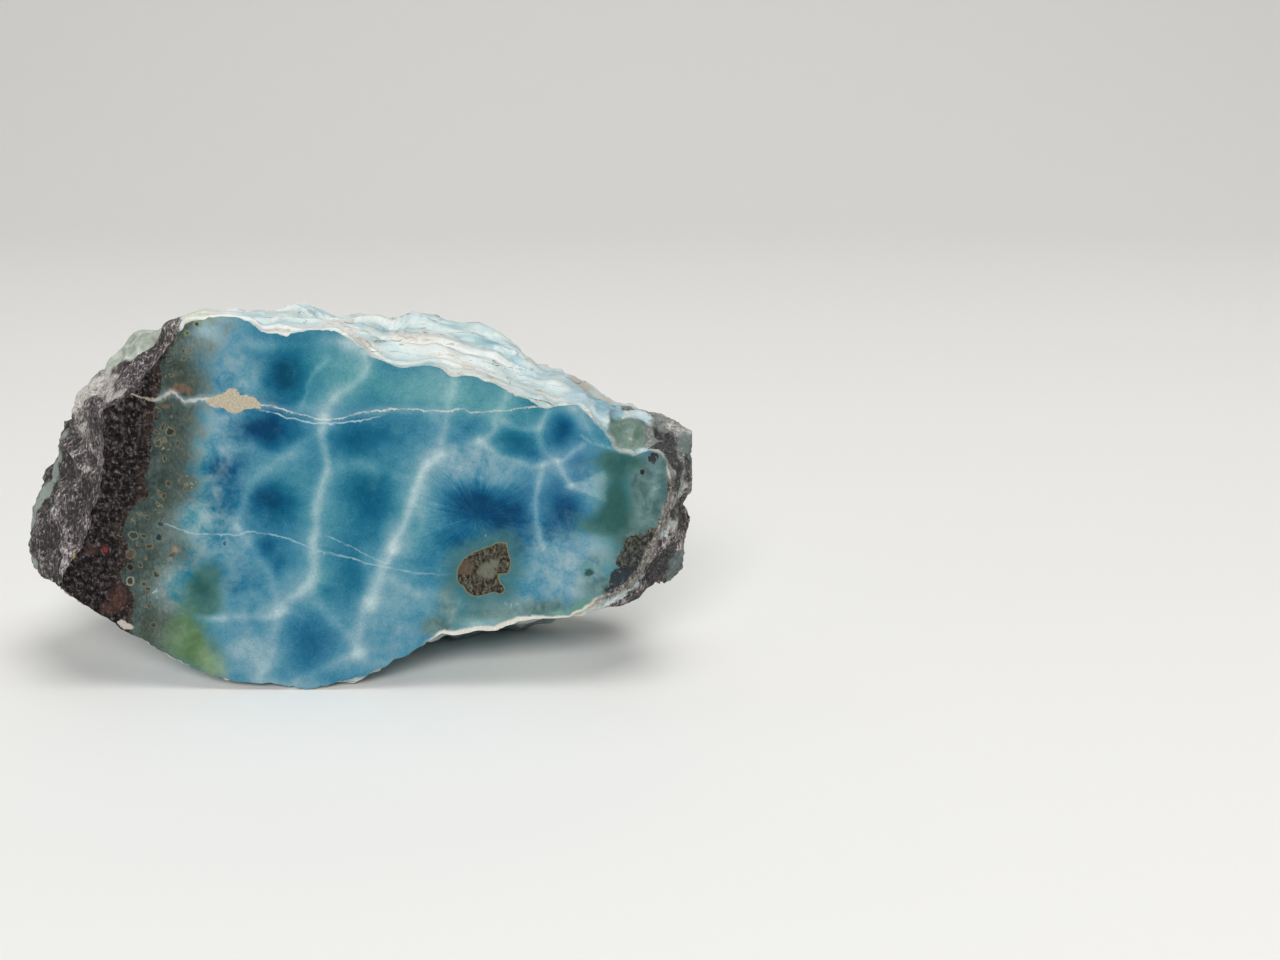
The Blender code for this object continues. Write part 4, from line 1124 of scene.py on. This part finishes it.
    # basalt: nearly black, with grey flecks, red-brown stains, and brown beside the blue stone
    basaltTone = total(add("Math", dust, 0.4, **times), (coarse, 0.6))
    basalt = add("ValToRGB", basaltTone, stops=looks["basalt"])
    clump = add("MapRange", mottle, 0.4, 0.62, 0.64, 0.53)
    speck = add("MapRange", add("Math", shard, clump, **minus), 0, 0.08, 0, 0.6)
    basalt = layer(speck, basalt, grain, "#332e2e", "#8d8682")
    stain = patch(0.9, 1.5, 0.7, field["redBrown"], (wisp, 1.2))
    basalt = layer(stain, basalt, dust, "#1d1211", "#684a41")
    brownRim = add("MapRange", leftDepth, 0.1, 2.4, 0.5, 0, **soft)
    brownRim = add("Math", brownRim, add("MapRange", wisp, 0.42, 0.6, 0, 1), **times)
    basalt = layer(brownRim, basalt, dust, "#1d1814", "#66584a")
    rightDepth = add("Math", add("Math", ragged, 1.6, **times), field["rightBasaltDepth"], **plus)
    basaltShare = add("Math", patch(-0.15, 0.25, 1, leftDepth), patch(-0.2, 0.3, 1, rightDepth), **larger)
    colour = add("Mix", basaltShare, colour, basalt, **colours)

    # the speckled patches inside the right end
    speckled = add("ValToRGB", dust, stops=looks["inclusion"])
    speckled = add("Mix", add("MapRange", shard, 0.5, 0.56, 0, 0.85), speckled, "#161617", **colours)
    coldBlack = add("Mix", speck, add("Mix", dust, "#08090c", "#3c4046", **colours), "#77797c", **colours)
    for name, over in (("brownRight", speckled), ("blackRight", coldBlack)):
        colour = add("Mix", patch(1.25, 1.4, 0.95, field[name], (dust, 1.5)), colour, over, **colours)

    for x, z, radius, inside, ring in spots:
        distance = add("VectorMath", place, (x, 0, z), operation="DISTANCE", output="Value")
        bend = 0.9 + 1.2 * radius
        distance = total(distance, (grain, 0.6), (mottle, bend))
        for reach, code, share in ((0.16, ring, 0.6), (-0.1, inside, 0.9 if radius < 0.7 else 0.5)):
            edge = radius + reach + 0.3 + bend / 2
            share = add("MapRange", distance, edge, edge + 0.2, share, 0, **soft)
            colour = add("Mix", share, colour, code, **colours)

    colour = add("Mix", add("Math", line, broken, **times), colour, cream, **colours)
    blob = add("ValToRGB", total(0.22, (grain, 0.55)), stops=looks["creamBlob"])
    colour = add("Mix", patch(-0.1, 0.12, 1, field["creamBlobDepth"], (wobble, 1)), colour, blob, **colours)
    fleckShare = add("MapRange", total(field["endFleck"], (dust, 1.2)), 1.1, 1.25, 0, 0.9)
    colour = add("Mix", fleckShare, colour, "#b9b2a8", **colours)

    # the inclusion: grey-brown, dark and white specks, a pale green-grey middle and a thin rim
    inclusion = add("ValToRGB", dust, stops=looks["inclusion"])
    for low, high, most, code in ((0.56, 0.6, 0.9, "#1a1816"), (0.4, 0.36, 0.3, "#a19c90")):
        inclusion = add("Mix", add("MapRange", shard, low, high, 0, most), inclusion, code, **colours)
    for x, z, radius, code in inclusionPatches:
        distance = add("VectorMath", place, (x, 0, z), operation="DISTANCE", output="Value")
        distance = total(distance, (mottle, 1.8))
        share = add("MapRange", distance, radius + 0.4, radius + 1.1, 0.7, 0, **soft)
        inclusion = add("Mix", share, inclusion, code, **colours)
    inclusionDepth = total(field["inclusionDepth"], (wobble, 0.5))
    inclusionRim = add("MapRange", inclusionDepth, 0.08, 0.26, 0.9, 0, **soft)
    inclusion = add("Mix", inclusionRim, inclusion, "#787659", **colours)
    colour = add("Mix", patch(-0.08, 0.08, 1, inclusionDepth), colour, inclusion, **colours)

    # the crust along the rim: cream, and light grey rock at the right end
    crustEdge = total(add("Math", field["toRim"], field["rimWidth"], **minus), (ragged, 0.35))
    crust = add("MapRange", crustEdge, -0.3, 0.25, 1, 0, **soft)
    crust = add("Math", crust, field["rimCrust"], **times)
    bandRock = add("ValToRGB", dust, stops=looks["bandRock"])
    crustColour = add("Mix", field["rimGrey"], cream, bandRock, **colours)
    colour = add("Mix", crust, colour, crustColour, **colours)

    roughness = add("MapRange", basaltShare, 0, 1, 0.48, 0.75)
    height = add("Math", dust, total(0.05, (basaltShare, 0.9)), **times)
    bump = add("Bump", 0.3, 0.0002, None, height)
    return linkShader(material, 0.05, {"Base Color": colour, "Roughness": roughness, "Normal": bump})


# Pectolite as it broke, damp and icy, with cream crust on its ledges, and the rough basalt wall rock: edges
# brightened with painted highlight over pale blue hollows with painted shade, a wet gleam, and dull grey
# basalt with long pale specks.
def brokenLarimar():
    material, place, field, add, total, patch, layer = newMaterial(
        "brokenPectoliteWet",
        (
            "paleness", "teal", "green", "leftBasaltDepth", "rightBasaltDepth", "iceHollow", "tan", "steel",
            "chipBlue", "sage", "rockGrey", "rockBlack", "endWhite", "endSmooth", "endTeal", "rockBrown",
            "paleLump", "ridge", "fromRim", "riser", "rimCrust", "rimGrey",
        ),
    )
    stretched = add("VectorMath", place, (0.4, 1, 1), **times)
    cloud = add("TexNoise", place, 0.12, 4, 0.6, 2.1)
    layers = add("TexNoise", stretched, 0.3, 4, 0.52, 2, 0.3)
    mottle = add("TexNoise", place, 0.55, 5, 0.64, 2, 0.4)
    grain = add("TexNoise", place, 2.4, 4, 0.65)
    streaky = add("TexNoise", add("VectorMath", place, (1.4, 1.4, 0.75), **times), 1.35, 4, 0.7, 2, 0.6)

    # icy blue, with painted highlight on raised edges and on the risers that face the front light, and
    # painted shade in the hollows of the relief; the blue is deeper too at the listed hollow marks
    tone = total(
        -0.04, (field["paleness"], 0.14), (layers, 0.65), (cloud, 0.5), (grain, 0.16),
        (field["ridge"], 0.14), (field["riser"], 0.2), (field["iceHollow"], -0.14),
    )
    colour = add("ValToRGB", tone, stops=looks["ice"])
    greenShare = patch(0.5, 1.1, 0.85, field["green"], (mottle, 0.6))
    for name, share in (("iceTeal", field["teal"]), ("iceGreen", greenShare)):
        colour = add("Mix", share, colour, add("ValToRGB", tone, stops=looks[name]), **colours)

    # named patches of the skin, with ragged edges
    patches = (
        ("chipBlue", "#6590a0", "#8fb6c0"), ("sage", "#365448", "#5c7a6a"), ("steel", "#9dbac4", "#c6d6d9"),
        ("tan", "#9c9183", "#d2ccbf"),
    )
    for name, dark, light in patches:
        share = patch(0.68, 1.1, 0.9, field[name], (mottle, 0.9))
        colour = layer(share, colour, add("MapRange", cloud, 0.3, 0.7), dark, light)

    # cream crust: beside the saw cut, and in thin bands along the ledges; on the risers that face the front
    # light, white that is partly crust and partly painted highlight
    crustTone = total(-0.05, (mottle, 0.5), (grain, 0.6))
    crustColour = add("ValToRGB", crustTone, stops=looks["crust"])
    byLedge = patch(1.06, 1.22, 0.5, add("Math", layers, cloud, **plus), (field["ridge"], 0.05))
    byRim = add("MapRange", total(field["fromRim"], (mottle, 2.6)), 2, 2.8, 0.9, 0, **soft)
    byRim = add("Math", byRim, add("MapRange", field["rimCrust"], 0, 0.6, 0.4, 1), **times)
    crust = add("Math", byLedge, byRim, **larger)
    colour = add("Mix", crust, colour, crustColour, **colours)
    # white crust and painted highlight on the front-facing risers
    riserWhiteAndHighlight = add("Math", field["riser"], add("MapRange", layers, 0.42, 0.56, 0, 0.6), **times)
    colour = add("Mix", riserWhiteAndHighlight, colour, "#dfe1dc", **colours)

    # long cracks nearly level: lines of equal height, spaced 3 mm and warped by a stretched noise
    along = add("VectorMath", place, (0.24, 0.8, 0.8), **times)
    crackNoise = add("TexNoise", along, 0.2, 3, 0.55)
    fallen = add("VectorMath", place, (0.03, 0.12, 0.3), operation="DOT_PRODUCT", output="Value")
    crack = add("Math", total(fallen, (crackNoise, 3.4)), 0.5, operation="PINGPONG")
    crack = add("MapRange", crack, 0.008, 0.028, 0.85, 0, **soft)
    crack = add("Math", crack, add("MapRange", mottle, 0.45, 0.54, 0, 1), **times)

    # short dark strokes in groups, where a finely stretched noise is high
    fineAlong = add("VectorMath", place, (0.35, 1.2, 2.2), **times)
    strokes = patch(0.58, 0.66, 0.6, add("TexNoise", fineAlong, 1.1, 3, 0.6))
    strokes = add("Math", strokes, add("MapRange", cloud, 0.5, 0.58), **times)
    crack = add("Math", crack, strokes, **larger)
    colour = add("Mix", crack, colour, "#5f564c", **colours)

    # rough basalt with long pale specks, and its grey, black and whitish parts
    ragged = total(-2.6, (grain, 1.2), (mottle, 4))
    # the basalt is a little paler on raised relief: painted highlight
    basaltTone = add("Math", total(streaky, (field["ridge"], 0.05)), 0.2, **minus)
    basaltTone = total(basaltTone, (cloud, 0.4))
    basalt = add("ValToRGB", basaltTone, stops=looks["roughBasalt"])
    rocks = (
        ("rockGrey", 0.65, 1, 0.95, "rock", basaltTone), (
            "endWhite", 0.6, 0.95, 0.95, "whiteRock", basaltTone,
        ),
        ("rockBrown", 0.6, 1, 0.9, "brownRock", streaky),
    )
    for name, low, high, most, look, tone in rocks:
        share = patch(low, high, most, field[name], (mottle, 0.9))
        basalt = add("Mix", share, basalt, add("ValToRGB", tone, stops=looks[look]), **colours)
    leftShare = patch(-0.3, 0.5, 1, add("Math", field["leftBasaltDepth"], ragged, **plus))
    rightShare = patch(-0.3, 0.5, 1, field["rightBasaltDepth"], (ragged, 1.5))
    rockShare = patch(0.65, 1, 1, field["rockGrey"], (mottle, 0.9))
    basaltShare = add("Math", add("Math", leftShare, rightShare, **larger), rockShare, **larger)
    lump = add("ValToRGB", mottle, stops=looks["paleLump"])
    colour = add("Mix", basaltShare, colour, basalt, **colours)
    colour = add("Mix", patch(0.6, 0.85, 1, field["paleLump"], (mottle, 0.6)), colour, lump, **colours)
    for name, dark, light in (("endSmooth", "#7c8982", "#a3afa6"), ("endTeal", "#424f4f", "#74837f")):
        colour = layer(patch(0.68, 1.1, 0.9, field[name], (mottle, 0.9)), colour, streaky, dark, light)
    # the light grey band along the rim of the right end
    bandDepth = total(add("Math", field["fromRim"], -1.5, **plus), (mottle, 3))
    band = add("Math", add("MapRange", bandDepth, 1.9, 2.9, 0.9, 0, **soft), field["rimGrey"], **times)
    colour = add("Mix", band, colour, add("ValToRGB", streaky, stops=looks["bandRock"]), **colours)
    black = add("ValToRGB", grain, stops=looks["blackRock"])
    colour = add("Mix", patch(0.9, 1.15, 0.95, field["rockBlack"], (grain, 1.1)), colour, black, **colours)

    roughness = add("MapRange", add("Math", basaltShare, crust, **larger), 0, 1, 0.36, 0.78)
    height = total(add("Math", grain, 0.25, **times), (layers, 0.7), (streaky, basaltShare))
    bump = add("Bump", 0.7, 0.0007, None, height)
    return linkShader(material, 0.5, {"Base Color": colour, "Roughness": roughness, "Normal": bump})


print("materials: broken and sawn pectolite")
larimarStone.data.materials.append(brokenLarimar())
larimarStone.data.materials.append(sawnLarimar())
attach(larimarStone, "root")
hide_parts("larimar_stone")

studio = {
    "halfWidth": 2.5, "front": -2.5, "curveStart": 0.6, "curveRadius": 1.1, "top": 2.0,  # metres
    "floor": "#f0efec",
    "camera": (49.9, -309.6, 114.0), "cameraTilt": 75, "lens": 50,  # millimetres and degrees
    "world": "#f4f5f6", "worldStrength": 0.12,
}
# place, what it aims at, width and height in metres, watts and colour
lights = {
    "frontKey": ((0, -1.73, 1.02), (0, 0, 0.02), (0.9, 0.45), 25.5, "#ffffff"),
    "topSoftbox": ((0.34, -0.3, 1.62), (0, 0, 0.02), (1.1, 0.9), 14.0, "#ffffff"),
    "leftSoftbox": ((-1.35, -0.45, 0.28), (0, 0, 0.02), (0.5, 0.5), 1.6, "#ffffff"),
    "backWash": ((-0.3, 0.45, 1.3), (-0.3, 0.62, 0), (2.2, 0.5), 2.0, "#ffffff"),
}


# a seamless floor: a profile that runs flat, then up a quarter circle, then straight up, carried along X
def makeFloor():
    radius, start = studio["curveRadius"], studio["curveStart"]
    turn = np.linspace(0, np.pi / 2, 65)
    profileY = np.concatenate(((studio["front"],), start + radius * np.sin(turn), (start + radius,)))
    profileZ = np.concatenate(((0,), radius * (1 - np.cos(turn)), (studio["top"],)))
    across = np.array((-studio["halfWidth"], studio["halfWidth"]))
    points = np.stack(np.broadcast_arrays(across[:, None], profileY, profileZ), axis=-1)
    count = len(profileY)
    index = np.arange(2 * count).reshape(2, count)
    faces = np.stack((index[0, :-1], index[1, :-1], index[1, 1:], index[0, 1:]), axis=-1)
    mesh = bpy.data.meshes.new("paleFloor")
    mesh.from_pydata(points.reshape(-1, 3).tolist(), [], faces.tolist())
    mesh.shade_smooth()
    floor = bpy.data.objects.new("paleFloor", mesh)
    bpy.context.scene.collection.objects.link(floor)
    material = bpy.data.materials.new("mattPaperSweep")
    material.use_nodes = True
    shader = material.node_tree.nodes["Principled BSDF"]
    shader.inputs["Base Color"].default_value = fromHex(studio["floor"])
    shader.inputs["Roughness"].default_value = 0.9
    shader.inputs["Specular IOR Level"].default_value = 0.2
    mesh.materials.append(material)
    return floor


def makeLight(name, place, aim, size, watts, code):
    lamp = bpy.data.lights.new(name, "AREA")
    lamp.shape = "RECTANGLE"
    lamp.size, lamp.size_y = size
    lamp.energy = watts
    lamp.color = fromHex(code)[:3]
    light = bpy.data.objects.new(name, lamp)
    light.location = place
    light.rotation_euler = (Vector(aim) - Vector(place)).to_track_quat("-Z", "Y").to_euler()
    bpy.context.scene.collection.objects.link(light)


makeFloor()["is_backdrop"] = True
for name, settings in lights.items():
    makeLight(name, *settings)

world = bpy.data.worlds.new("paleRoom")
world.use_nodes = True
background = world.node_tree.nodes["Background"]
background.inputs["Color"].default_value = fromHex(studio["world"])
background.inputs["Strength"].default_value = studio["worldStrength"]
bpy.context.scene.world = world
bpy.context.scene.view_settings.view_transform = "Standard"

cameraData = bpy.data.cameras.new("camera")
cameraData.lens = studio["lens"]
camera = bpy.data.objects.new("camera", cameraData)
camera.location = np.array(studio["camera"]) * mm
camera.rotation_euler = (np.radians(studio["cameraTilt"]), 0, 0)
bpy.context.scene.collection.objects.link(camera)
bpy.context.scene.camera = camera
print("studio: floor, lights and camera ready")

low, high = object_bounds()
boxes = {"cad": [list(cadLow), list(cadHigh)], "visual": [list(low), list(high)]}
for name, (start, end) in boxes.items():
    print("size,", name, "mm:", [round((b - a) / mm, 2) for a, b in zip(start, end)])
